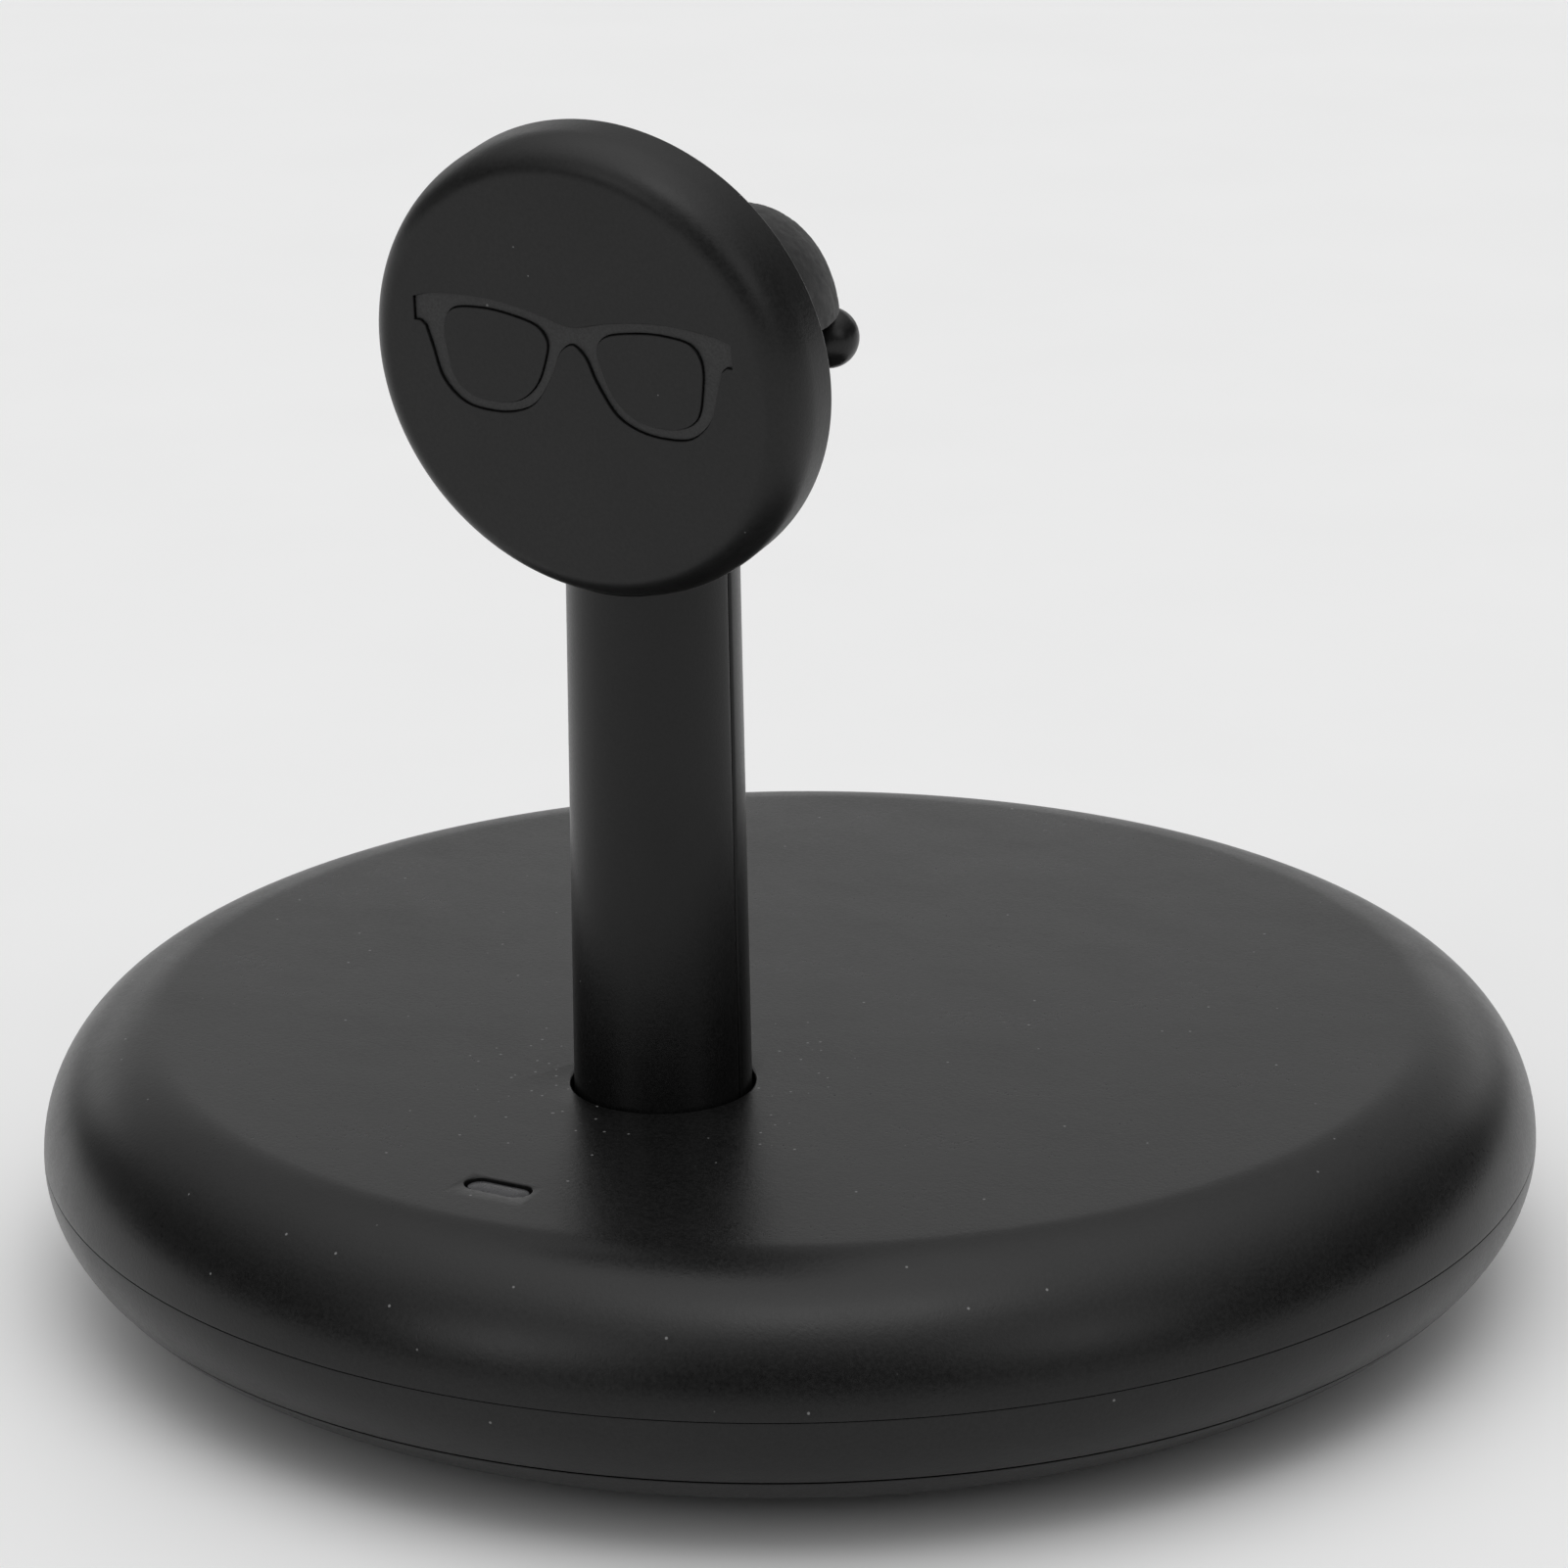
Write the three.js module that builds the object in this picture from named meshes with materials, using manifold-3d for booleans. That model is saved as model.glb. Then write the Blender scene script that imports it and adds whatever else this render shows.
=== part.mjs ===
// Desk stand for smart spectacles, in millimetres: +Z up, front towards -Y, origin on the desk.
// A weighted round base carries a split column, a tilted round head and a nose-shaped rest behind the head.
import * as THREE from "three";
import { mergeVertices } from "three/addons/utils/BufferGeometryUtils.js";
import Module from "manifold-3d";

const wasm = await Module();
wasm.setup();

// Base: a flat top, a rounded shoulder and a rounded belly, cut by two seams into three shells.
const BASE_R = 50;
const BASE_TOP = 18.3;
const WIDEST_Z = 9.9;
const SHOULDER_RUN = 8.2;
const BELLY_RUN = 14.9;
const UNDERSIDE_Z = 0.55;
const WALL = 2;
const UPPER_SEAM_Z = 10.2;
const LOWER_SEAM_Z = 5.4;
const SEAM_GAP = 0.12;
const LIP_R = 46.2;
const LIP_WALL = 1.3;
const LIP_RISE = 1.4;
const BASE_SIDES = 48;

// Foot ring, ballast and the screws that close the base.
const FOOT_OUT_R = 35.5;
const FOOT_IN_R = 29.8;
const FOOT_H = 1;
const BALLAST_R = 31.5;
const BALLAST_Z = 2.6;
const BALLAST_H = 2.3;
const SCREW_X = 17;
const SCREW_SEAT_Z = 3.1;
const SCREW_HOLE_R = 1.7;
const SCREW_HEAD_HOLE_R = 3;
const SCREW_PILOT_R = 1.6;
const SCREW_PILOT_TOP = 14;
const BOSS_R = 3.6;
const CUP_R = 4.2;
const CUP_TOP = 5;

// Electronics: a main board with its power inlet at the back, and a small lamp board at the front.
const BOARD_W = 24;
const BOARD_L = 26;
const BOARD_TAIL_W = 12;
const BOARD_TAIL_Y = 45.8;
const BOARD_Z = 5.3;
const BOARD_H = 1;
const BOARD_FRONT_Y = 15.6;
const BOARD_SCREW = new THREE.Vector2(8.5, 37);
const PILLAR_R = 2.4;
const PILLAR_PILOT_R = 1.1;
const INLET_W = 8.94;
const INLET_T = 3.2;
const INLET_L = 7.4;
const INLET_Y = 48.9;
const INLET_SHELL = 0.3;
const TONGUE_W = 6.7;
const TONGUE_T = 0.7;
const LAMP_Y = -37.15;
const LAMP_L = 4.6;
const LAMP_W = 2;
const LAMP_BOARD_W = 13;
const LAMP_BOARD_L = 8;
const LAMP_BOARD_Z = 7.8;
const CHIP_W = 3.2;
const CHIP_L = 1.6;
const PIPE_GAP = 0.3;
const PIPE_BOTTOM_Z = 10;
const STAKE = new THREE.Vector2(4.4, -35.2);
const STAKE_R = 1.7;
const STAKE_PIN_R = 0.8;

// Column: two half shells on a tube, standing in a socket under the base's top.
const COLUMN_Y = -16.77;
const COLUMN_FOOT_Z = 7;
const COLUMN_TOP_Z = 70;
const COLUMN_R = 5.75;
const COLUMN_DRAFT = 0.0077;
const COLUMN_BORE_R = 3.8;
const SPINE_R = 3.5;
const SPINE_BORE_R = 2.5;
const SPINE_TOP_Z = 68;
const MOUTH_R = 6.1;
const SOCKET_R = 7.7;
const SOCKET_W = 24.4;
const SOCKET_L = 17;
const SOCKET_SCREW_X = 9.9;
const SOCKET_SCREW_HOLE_R = 1.4;
const SOCKET_FLOOR_Z = 6.8;
const HARNESS_R = 1.1;
const SLOT_W = 3.4;
const SLOT_REACH = 9;
const LOW_SLOT_TOP_Z = 13.5;
const HIGH_SLOT_Z = 59;

// Head: a round cup with its face tipped down, closed by a plate that grips the column.
const HEAD_R = 15.07;
const HEAD_DEPTH = 5.1;
const HEAD_TILT = THREE.MathUtils.degToRad(8.4);
const FACE_CENTRE = new THREE.Vector3(0, -25.75, 66.85);
const FACE_EASE_R = 2;
const FACE_EASE_Z = 3;
const CUP_WALL = 1.66;
const FACE_WALL = 1.9;
const HEAD_SCREW_X = 10.2;
const PLATE_T = 1.5;
const COLLAR_R = 7.6;
const COLLAR_BORE_R = 5.9;
const COLLAR_Z = 57.6;
const COLLAR_H = 8;
const COLLAR_FLAT_X = 7.2;
const COLLAR_SCREW_Y = COLUMN_Y - 1.9;
const COLLAR_SCREW_Z = COLLAR_Z + COLLAR_H / 2;
const CROSS_HOLE_R = 0.95;
const EMBLEM_H = 0.26;
const EMBLEM_DROP = 0.22;
const EMBLEM_GAP = 0.05;
const EMBLEM_AT = new THREE.Vector2(-0.05, -0.09);
const EMBLEM_ROLL = THREE.MathUtils.degToRad(-1.8);
const POCKET_DEPTH = EMBLEM_DROP + EMBLEM_H + 0.03;

// Nose: a soft bridge pad over a stiff arm, with a rounded tip, and spring contacts in the pad's ridge.
const PAD_CENTRE = new THREE.Vector3(0, -6.9, 65);
const PAD_RADII = new THREE.Vector3(6, 10.4, 8.9);
const PAD_FLOOR_Z = 66;
const HOOD_R = 6;
const HOOD_Z = 68;
const HOOD_RISE = 4.6;
const ARM_W = 6.4;
const ARM_TOP_Z = 65.6;
const ARM_H = 3.2;
const ARM_ROOT_H = 5.6;
const TIP_R = 2;
const TIP_HALF = 3;
const TIP_PEG_R = 0.8;
const TIP_CENTRE = new THREE.Vector3(0, 1.06, 63.87);
const CONTACT_AT = new THREE.Vector3(0, 2.02, 69.58);
const CONTACT_RISE = THREE.MathUtils.degToRad(35);
const CONTACT_X = 1.3;
const LAND_DROP = 0.95;
const PIN_R = 0.6;
const PIN_OUT = 0.6;
const PIN_COLLAR_R = 0.82;
const PIN_COLLAR_Z = -0.58;
const HOUSING_W = 5.2;
const HOUSING_T = 2.8;
const HOUSING_L = 3;

// Finishes: [colour, roughness, metalness].
const FINISH = {
  shell: [0x1b1b1d, 0.5, 0],
  head: [0x1a1a1c, 0.55, 0],
  emblem: [0x242426, 0.42, 0],
  soft: [0x18181a, 0.75, 0],
  foot: [0x121212, 0.9, 0],
  steel: [0x9a9a9c, 0.35, 1],
  zinc: [0x8d8f92, 0.45, 1],
  board: [0x16452c, 0.6, 0],
  inlet: [0xb9babd, 0.3, 1],
  lens: [0x3a3a3e, 0.25, 0],
  lamp: [0xe8e6d8, 0.4, 0],
  bracket: [0x2b2b2e, 0.6, 0],
  cable: [0x202022, 0.7, 0],
  contact: [0xd4af5a, 0.25, 1],
};

// A closed three.js geometry as a solid for cutting and joining.
function solid(geometry) {
  geometry.deleteAttribute("normal");
  geometry.deleteAttribute("uv");
  const merged = mergeVertices(geometry, 1e-4);
  const corners = merged.index.array;
  const triangles = [];
  for (let i = 0; i < corners.length; i += 3) {
    const [a, b, c] = corners.slice(i, i + 3);
    if (a !== b && b !== c && c !== a) triangles.push(a, b, c);
  }
  const build = (list) =>
    new wasm.Manifold(
      new wasm.Mesh({
        numProp: 3,
        vertProperties: merged.attributes.position.array,
        triVerts: new Uint32Array(list),
      }),
    );
  const made = build(triangles);
  return made.volume() < 0 ? build(triangles.reverse()) : made;
}

const join = (first, ...rest) => rest.reduce((all, piece) => all.add(piece), first);
const cut = (body, ...tools) => tools.reduce((left, tool) => left.subtract(tool), body);

// The solid as a named mesh with its own material.
function mesh(name, body, finish) {
  const { numProp, vertProperties, triVerts } = body.getMesh();
  const geometry = new THREE.BufferGeometry();
  const interleaved = new THREE.InterleavedBuffer(vertProperties, numProp);
  geometry.setAttribute("position", new THREE.InterleavedBufferAttribute(interleaved, 3, 0));
  geometry.setIndex(new THREE.BufferAttribute(triVerts, 1));
  const flat = geometry.toNonIndexed();
  flat.computeVertexNormals();
  const [color, roughness, metalness] = FINISH[finish];
  const made = new THREE.Mesh(flat, new THREE.MeshStandardMaterial({ color, roughness, metalness }));
  made.name = name;
  return made;
}

// A box between two corners.
function block([x0, y0, z0], [x1, y1, z1]) {
  const geometry = new THREE.BoxGeometry(x1 - x0, y1 - y0, z1 - z0);
  return solid(geometry.translate((x0 + x1) / 2, (y0 + y1) / 2, (z0 + z1) / 2));
}

// An upright cylinder or cone from z0 to z1.
function rod(r, z0, z1, x = 0, y = 0, sides = 16, topR = r) {
  const geometry = new THREE.CylinderGeometry(topR, r, z1 - z0, sides).rotateX(Math.PI / 2);
  return solid(geometry.translate(x, y, (z0 + z1) / 2));
}

// A cylinder lying along Y, or along X, about a centre line.
function rodY(r, y0, y1, x, z, sides = 12) {
  const geometry = new THREE.CylinderGeometry(r, r, y1 - y0, sides);
  return solid(geometry.translate(x, (y0 + y1) / 2, z));
}
function rodX(r, x0, x1, y, z, sides = 16) {
  const geometry = new THREE.CylinderGeometry(r, r, x1 - x0, sides).rotateZ(Math.PI / 2);
  return solid(geometry.translate((x0 + x1) / 2, y, z));
}

// A profile of [radius, height] points turned about Z; it starts and ends on the axis or closes on itself.
function turn(profile, sides) {
  const points = profile.map(([r, z]) => new THREE.Vector2(r, z));
  return solid(new THREE.LatheGeometry(points, sides).rotateX(Math.PI / 2));
}

// Points on an ellipse between two angles in degrees.
function arc(centreR, centreZ, radiusR, radiusZ, from, to, steps) {
  return Array.from({ length: steps + 1 }, (_, i) => {
    const angle = THREE.MathUtils.degToRad(from + ((to - from) * i) / steps);
    return [centreR + radiusR * Math.cos(angle), centreZ + radiusZ * Math.sin(angle)];
  });
}
const angleAt = (rise, radius) => THREE.MathUtils.radToDeg(Math.asin(rise / radius));

function roundedRect(width, height, corner) {
  const x = width / 2 - corner;
  const y = height / 2 - corner;
  const shape = new THREE.Shape();
  shape.absarc(x, y, corner, 0, Math.PI / 2);
  shape.absarc(-x, y, corner, Math.PI / 2, Math.PI);
  shape.absarc(-x, -y, corner, Math.PI, Math.PI * 1.5);
  shape.absarc(x, -y, corner, Math.PI * 1.5, Math.PI * 2);
  return shape;
}

// A flat outline raised from z0 to z1 over (x, y).
function slab(shape, z0, z1, x = 0, y = 0, curveSegments = 3) {
  const geometry = new THREE.ExtrudeGeometry(shape, { depth: z1 - z0, bevelEnabled: false, curveSegments });
  return solid(geometry.translate(x, y, z0));
}

// The same outline pushed along Y instead, for the power inlet.
function slabY(shape, y0, y1, z, curveSegments = 3) {
  const geometry = new THREE.ExtrudeGeometry(shape, { depth: y1 - y0, bevelEnabled: false, curveSegments });
  return solid(geometry.rotateX(-Math.PI / 2).translate(0, y0, z));
}

// A pan-head screw, head up, with its seat at z = 0.
function panScrew(name, headR, headH, shankR, shankL) {
  const profile = [[0, headH], [headR - 0.4, headH], [headR, headH - 0.5], [headR, 0], [shankR, 0]];
  profile.push([shankR, -shankL + 0.5], [shankR - 0.5, -shankL], [0, -shankL]);
  const slotL = headR * 0.6;
  const slotW = headR * 0.2;
  const recess = block([-slotL, -slotW, headH * 0.45], [slotL, slotW, headH + 1]);
  return mesh(name, cut(turn(profile, 12), recess), "steel");
}

const corners = [
  [1, 1],
  [-1, 1],
  [-1, -1],
  [1, -1],
].map(([x, y]) => [x * SCREW_X, y * SCREW_X]);
const sides = [-1, 1];
const SHOULDER_C = BASE_R - SHOULDER_RUN;
const SHOULDER_RISE = BASE_TOP - WIDEST_Z;
const BELLY_C = BASE_R - BELLY_RUN;
const BELLY_DROP = WIDEST_Z - UNDERSIDE_Z;
const FLOOR_Z = UNDERSIDE_Z + WALL - 0.15;
const CEILING_Z = BASE_TOP - WALL;
const INLET_Z = BOARD_Z + BOARD_H + 0.07 + INLET_T / 2;
const HEAD_TURN = Math.PI / 2 + HEAD_TILT;
const HEAD_FRAME = new THREE.Matrix4()
  .makeRotationX(HEAD_TURN)
  .setPosition(FACE_CENTRE);
const CONTACT_TURN = CONTACT_RISE - Math.PI / 2;
const CONTACT_FRAME = new THREE.Matrix4().makeRotationX(CONTACT_TURN).setPosition(CONTACT_AT);

// Base shells.
function baseTopShell() {
  const edge = UPPER_SEAM_Z + SEAM_GAP / 2 - WIDEST_Z;
  const innerRise = SHOULDER_RISE - WALL;
  const profile = [
    [0, BASE_TOP],
    ...arc(SHOULDER_C, WIDEST_Z, SHOULDER_RUN, SHOULDER_RISE, 90, angleAt(edge, SHOULDER_RISE), 8),
    ...arc(SHOULDER_C, WIDEST_Z, SHOULDER_RUN - WALL, innerRise, angleAt(edge, innerRise), 90, 3),
    [0, CEILING_Z],
  ];
  const bosses = corners.map(([x, y]) => rod(BOSS_R, CUP_TOP + 0.3, CEILING_Z + 0.5, x, y));
  const pilots = corners.map(([x, y]) => rod(SCREW_PILOT_R, 0, SCREW_PILOT_TOP, x, y, 12));
  const mouth = rod(MOUTH_R, 0, BASE_TOP + 1, 0, COLUMN_Y, 40);
  const lampSlot = slab(roundedRect(LAMP_L, LAMP_W, LAMP_W / 2 - 0.01), 0, BASE_TOP + 1, 0, LAMP_Y);
  const shell = join(turn(profile, BASE_SIDES), ...bosses);
  return mesh("base_top_shell", cut(shell, ...pilots, mouth, lampSlot), "shell");
}

function baseLowerShell() {
  const top = UPPER_SEAM_Z - SEAM_GAP / 2;
  const bottom = LOWER_SEAM_Z + SEAM_GAP / 2;
  const outer = [
    ...arc(BELLY_C, WIDEST_Z, BELLY_RUN, BELLY_DROP, -angleAt(WIDEST_Z - bottom, BELLY_DROP), 0, 4),
    [SHOULDER_C + SHOULDER_RUN * Math.cos(Math.asin((top - WIDEST_Z) / SHOULDER_RISE)), top],
  ];
  const inner = [
    [LIP_R + LIP_WALL, top],
    [LIP_R + LIP_WALL, top + LIP_RISE],
    [LIP_R, top + LIP_RISE],
    [LIP_R, bottom],
  ];
  const ring = turn([...outer, ...inner, outer[0]], BASE_SIDES);
  const opening = slabY(roundedRect(INLET_W + 0.5, INLET_T + 0.3, 1.6), LIP_R - 3, BASE_R + 1, INLET_Z);
  return mesh("base_lower_shell", cut(ring, opening), "shell");
}

function bottomCover() {
  const rim = LOWER_SEAM_Z - SEAM_GAP / 2;
  const lip = LIP_R - 0.3;
  const lipWall = 1.5;
  const lipRise = 2;
  const grooveIn = FOOT_IN_R - 0.2;
  const grooveOut = FOOT_OUT_R + 0.2;
  const grooveStart = THREE.MathUtils.radToDeg(Math.acos((grooveOut - BELLY_C) / BELLY_RUN));
  const innerRun = BELLY_RUN - WALL;
  const innerDrop = WIDEST_Z - FLOOR_Z;
  const innerStart = THREE.MathUtils.radToDeg(Math.acos((lip - lipWall - BELLY_C) / innerRun));
  const profile = [
    [0, UNDERSIDE_Z],
    [grooveIn, UNDERSIDE_Z],
    [grooveIn, FOOT_H + 0.1],
    [grooveOut, FOOT_H + 0.1],
    ...arc(BELLY_C, WIDEST_Z, BELLY_RUN, BELLY_DROP, -grooveStart, -angleAt(WIDEST_Z - rim, BELLY_DROP), 6),
    [lip, rim],
    [lip, rim + lipRise],
    [lip - lipWall, rim + lipRise],
    ...arc(BELLY_C, WIDEST_Z, innerRun, innerDrop, -innerStart, -90, 3),
    [0, FLOOR_Z],
  ];
  const cups = corners.map(([x, y]) => rod(CUP_R, FLOOR_Z - 0.5, CUP_TOP, x, y));
  const bores = corners.flatMap(([x, y]) => [
    rod(SCREW_HEAD_HOLE_R, -1, SCREW_SEAT_Z + 0.1, x, y),
    rod(SCREW_HOLE_R, 0, CUP_TOP + 1, x, y, 12),
  ]);
  const atBoardScrew = (s, r, z0, z1) => rod(r, z0, z1, s * BOARD_SCREW.x, BOARD_SCREW.y, 12);
  const pillars = sides.map((s) => atBoardScrew(s, PILLAR_R, FLOOR_Z - 0.3, BOARD_Z - 0.1));
  const pilots = sides.map((s) => atBoardScrew(s, PILLAR_PILOT_R, FLOOR_Z + 0.6, BOARD_Z + 1));
  const stakes = sides.flatMap((s) => [
    rod(STAKE_R, FLOOR_Z - 0.3, LAMP_BOARD_Z - 0.1, s * STAKE.x, STAKE.y, 12),
    rod(STAKE_PIN_R, LAMP_BOARD_Z - 0.5, LAMP_BOARD_Z + 1.8, s * STAKE.x, STAKE.y, 8),
  ]);
  const notchX = BOARD_TAIL_W / 2 + 0.5;
  const notch = block([-notchX, lip - 4, BOARD_Z - 0.2], [notchX, BASE_R, BASE_TOP]);
  const cover = join(turn(profile, BASE_SIDES), ...cups, ...pillars, ...stakes);
  return mesh("bottom_cover", cut(cover, ...bores, ...pilots, notch), "shell");
}

function footRing() {
  const ease = 0.3;
  const profile = [
    [FOOT_IN_R, FOOT_H],
    [FOOT_IN_R, ease],
    [FOOT_IN_R + ease, 0],
    [FOOT_OUT_R - ease, 0],
    [FOOT_OUT_R, ease],
    [FOOT_OUT_R, FOOT_H],
    [FOOT_IN_R, FOOT_H],
  ];
  return mesh("foot_ring", turn(profile, BASE_SIDES), "foot");
}

const socketScrewHoles = () =>
  sides.map((s) => rod(SOCKET_SCREW_HOLE_R, 0, 9, s * SOCKET_SCREW_X, COLUMN_Y, 12));

function ballastPlate() {
  const holes = corners.map(([x, y]) => rod(CUP_R + 0.4, 0, 9, x, y));
  const taps = socketScrewHoles();
  const disc = rod(BALLAST_R, BALLAST_Z, BALLAST_Z + BALLAST_H, 0, 0, 48);
  return mesh("ballast_plate", cut(disc, ...holes, ...taps), "zinc");
}

// Boards, inlet and lamp.
function mainBoard() {
  const y = BOARD_FRONT_Y + BOARD_L / 2;
  const top = BOARD_Z + BOARD_H;
  const plate = slab(roundedRect(BOARD_W, BOARD_L, 1.5), BOARD_Z, top, 0, y);
  const holes = sides.map((s) => rod(1.3, 0, 9, s * BOARD_SCREW.x, BOARD_SCREW.y, 12));
  const tailAndChips = [
    block([-BOARD_TAIL_W / 2, y, BOARD_Z], [BOARD_TAIL_W / 2, BOARD_TAIL_Y, top]),
    block([-9.5, 20, top - 0.2], [-4.5, 25, top + 1]),
    block([1.5, 27, top - 0.2], [6.5, 31.5, top + 2.4]),
    block([-7, 29.5, top - 0.2], [-3.4, 32, top + 1.4]),
    block([5.5, 19, top - 0.2], [9.8, 23, top + 3]),
    block([-1.8, 33.8, top - 0.2], [1, 35.4, top + 0.9]),
  ];
  return mesh("main_board", join(cut(plate, ...holes), ...tailAndChips), "board");
}

function powerInlet() {
  const innerY = INLET_Y - INLET_L;
  const outline = (inset) => {
    const height = INLET_T - 2 * inset;
    return roundedRect(INLET_W - 2 * inset, height, height / 2 - 0.01);
  };
  const shell = slabY(outline(0), innerY, INLET_Y, INLET_Z);
  const hollow = slabY(outline(INLET_SHELL), innerY + 0.9, INLET_Y + 1, INLET_Z);
  const tongue = block(
    [-TONGUE_W / 2, innerY + 0.5, INLET_Z - TONGUE_T / 2],
    [TONGUE_W / 2, INLET_Y - 1, INLET_Z + TONGUE_T / 2],
  );
  return mesh("power_inlet", join(cut(shell, hollow), tongue), "inlet");
}

function lampBoard() {
  const outline = roundedRect(LAMP_BOARD_W, LAMP_BOARD_L, 1);
  const plate = slab(outline, LAMP_BOARD_Z, LAMP_BOARD_Z + BOARD_H, 0, LAMP_Y + 1.2);
  const holes = sides.map((s) => rod(STAKE_PIN_R + 0.25, 0, 12, s * STAKE.x, STAKE.y, 8));
  return mesh("lamp_board", cut(plate, ...holes), "board");
}

function lampChip() {
  const z = LAMP_BOARD_Z + BOARD_H + 0.05;
  const low = [-CHIP_W / 2, LAMP_Y - CHIP_L / 2, z];
  const high = [CHIP_W / 2, LAMP_Y + CHIP_L / 2, z + 0.7];
  return mesh("lamp_chip", block(low, high), "lamp");
}

function lightPipe() {
  const width = LAMP_W - PIPE_GAP;
  const section = roundedRect(LAMP_L - PIPE_GAP, width, width / 2 - 0.01);
  const stem = slab(section, PIPE_BOTTOM_Z, BASE_TOP - 0.16, 0, LAMP_Y);
  const flange = slab(roundedRect(LAMP_L + 2.4, LAMP_W + 2, 1), CEILING_Z - 1.1, CEILING_Z - 0.1, 0, LAMP_Y);
  return mesh("light_pipe", join(stem, flange), "lens");
}

// A slot through the rear side of the column and its socket, which the wires pass through.
const wireSlot = (z0, z1) =>
  block([-SLOT_W / 2, COLUMN_Y, z0], [SLOT_W / 2, COLUMN_Y + SLOT_REACH, z1]);

// Column.
function columnSocket() {
  const base = BALLAST_Z + BALLAST_H + 0.1;
  const flange = slab(roundedRect(SOCKET_W, SOCKET_L, 3), base, SOCKET_FLOOR_Z, 0, COLUMN_Y);
  const tube = rod(SOCKET_R, base, CEILING_Z - 0.4, 0, COLUMN_Y, 32);
  const bore = rod(MOUTH_R, SOCKET_FLOOR_Z, BASE_TOP, 0, COLUMN_Y, 32);
  const slot = wireSlot(SOCKET_FLOOR_Z, LOW_SLOT_TOP_Z);
  return mesh("column_socket", cut(join(flange, tube), bore, slot, ...socketScrewHoles()), "bracket");
}

const columnRadius = (z) => COLUMN_R - COLUMN_DRAFT * (z - BASE_TOP);

// The head's outer volume, rounded as its face is and grown by a clearance. The column's top and the
// nose pad are cut back from it.
function headEnvelope(gap) {
  const centreR = HEAD_R - FACE_EASE_R;
  const ease = arc(centreR, -FACE_EASE_Z, FACE_EASE_R + gap, FACE_EASE_Z + gap, 0, 90, 6);
  const rear = -HEAD_DEPTH - gap;
  const profile = [[0, rear], [HEAD_R + gap, rear], ...ease, [0, gap]];
  const points = profile.map(([r, z]) => new THREE.Vector2(r, z));
  return solid(new THREE.LatheGeometry(points, 48).rotateX(Math.PI / 2).applyMatrix4(HEAD_FRAME));
}

// Cross holes through the collar and the column's front shell for the two collar screws.
const collarHoles = () => sides.map((s) => {
  const ends = [s * (SPINE_R - 0.1), s * (COLLAR_R + 1)].sort((a, b) => a - b);
  return rodX(CROSS_HOLE_R, ends[0], ends[1], COLLAR_SCREW_Y, COLLAR_SCREW_Z);
});

function columnShell(name, side) {
  const footR = columnRadius(COLUMN_FOOT_Z);
  const topR = columnRadius(COLUMN_TOP_Z);
  const whole = rod(footR, COLUMN_FOOT_Z, COLUMN_TOP_Z, 0, COLUMN_Y, 40, topR);
  const bore = rod(COLUMN_BORE_R, 0, COLUMN_TOP_Z + 1, 0, COLUMN_Y, 24);
  const seam = COLUMN_Y + (side * SEAM_GAP) / 2;
  const far = seam - side * 20;
  const otherHalf = block([-9, Math.min(seam, far), 0], [9, Math.max(seam, far), 90]);
  const armX = ARM_W / 2 + 0.2;
  const armLow = ARM_TOP_Z - ARM_ROOT_H - 0.2;
  const armWindow = block([-armX, COLUMN_Y, armLow], [armX, 0, ARM_TOP_Z + 0.2]);
  const tools = side > 0 ? [wireSlot(0, LOW_SLOT_TOP_Z), armWindow] : collarHoles();
  return mesh(name, cut(whole, bore, otherHalf, headEnvelope(0.25), ...tools), "shell");
}

function columnSpine() {
  const tube = rod(SPINE_R, COLUMN_FOOT_Z, SPINE_TOP_Z, 0, COLUMN_Y, 24);
  const bore = rod(SPINE_BORE_R, 0, SPINE_TOP_Z + 1, 0, COLUMN_Y, 16);
  const slots = [wireSlot(0, LOW_SLOT_TOP_Z), wireSlot(HIGH_SLOT_Z, SPINE_TOP_Z + 1)];
  return mesh("column_spine", cut(tube, bore, ...slots, headEnvelope(0.3)), "steel");
}

function wireHarness() {
  const route = [
    [0, 15.2, 8.2],
    [0, 4, 8.2],
    [0, -8, 8.9],
    [0, COLUMN_Y + 1.4, 12],
    [0, COLUMN_Y + 0.5, 20],
    [0, COLUMN_Y + 0.5, 54],
    [0, COLUMN_Y + 1.1, 60],
    [0, COLUMN_Y + 2.7, 63.5],
    [0, -11.5, 64.4],
    [0, -7, 64.4],
    [0, -4.2, 64.4],
  ].map((point) => new THREE.Vector3(...point));
  const section = new THREE.Shape().absarc(0, 0, HARNESS_R, 0, Math.PI * 2);
  const geometry = new THREE.ExtrudeGeometry(section, {
    extrudePath: new THREE.CatmullRomCurve3(route, false, "centripetal"),
    steps: 34,
    curveSegments: 4,
    bevelEnabled: false,
  });
  return mesh("wire_harness", solid(geometry), "cable");
}

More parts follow.
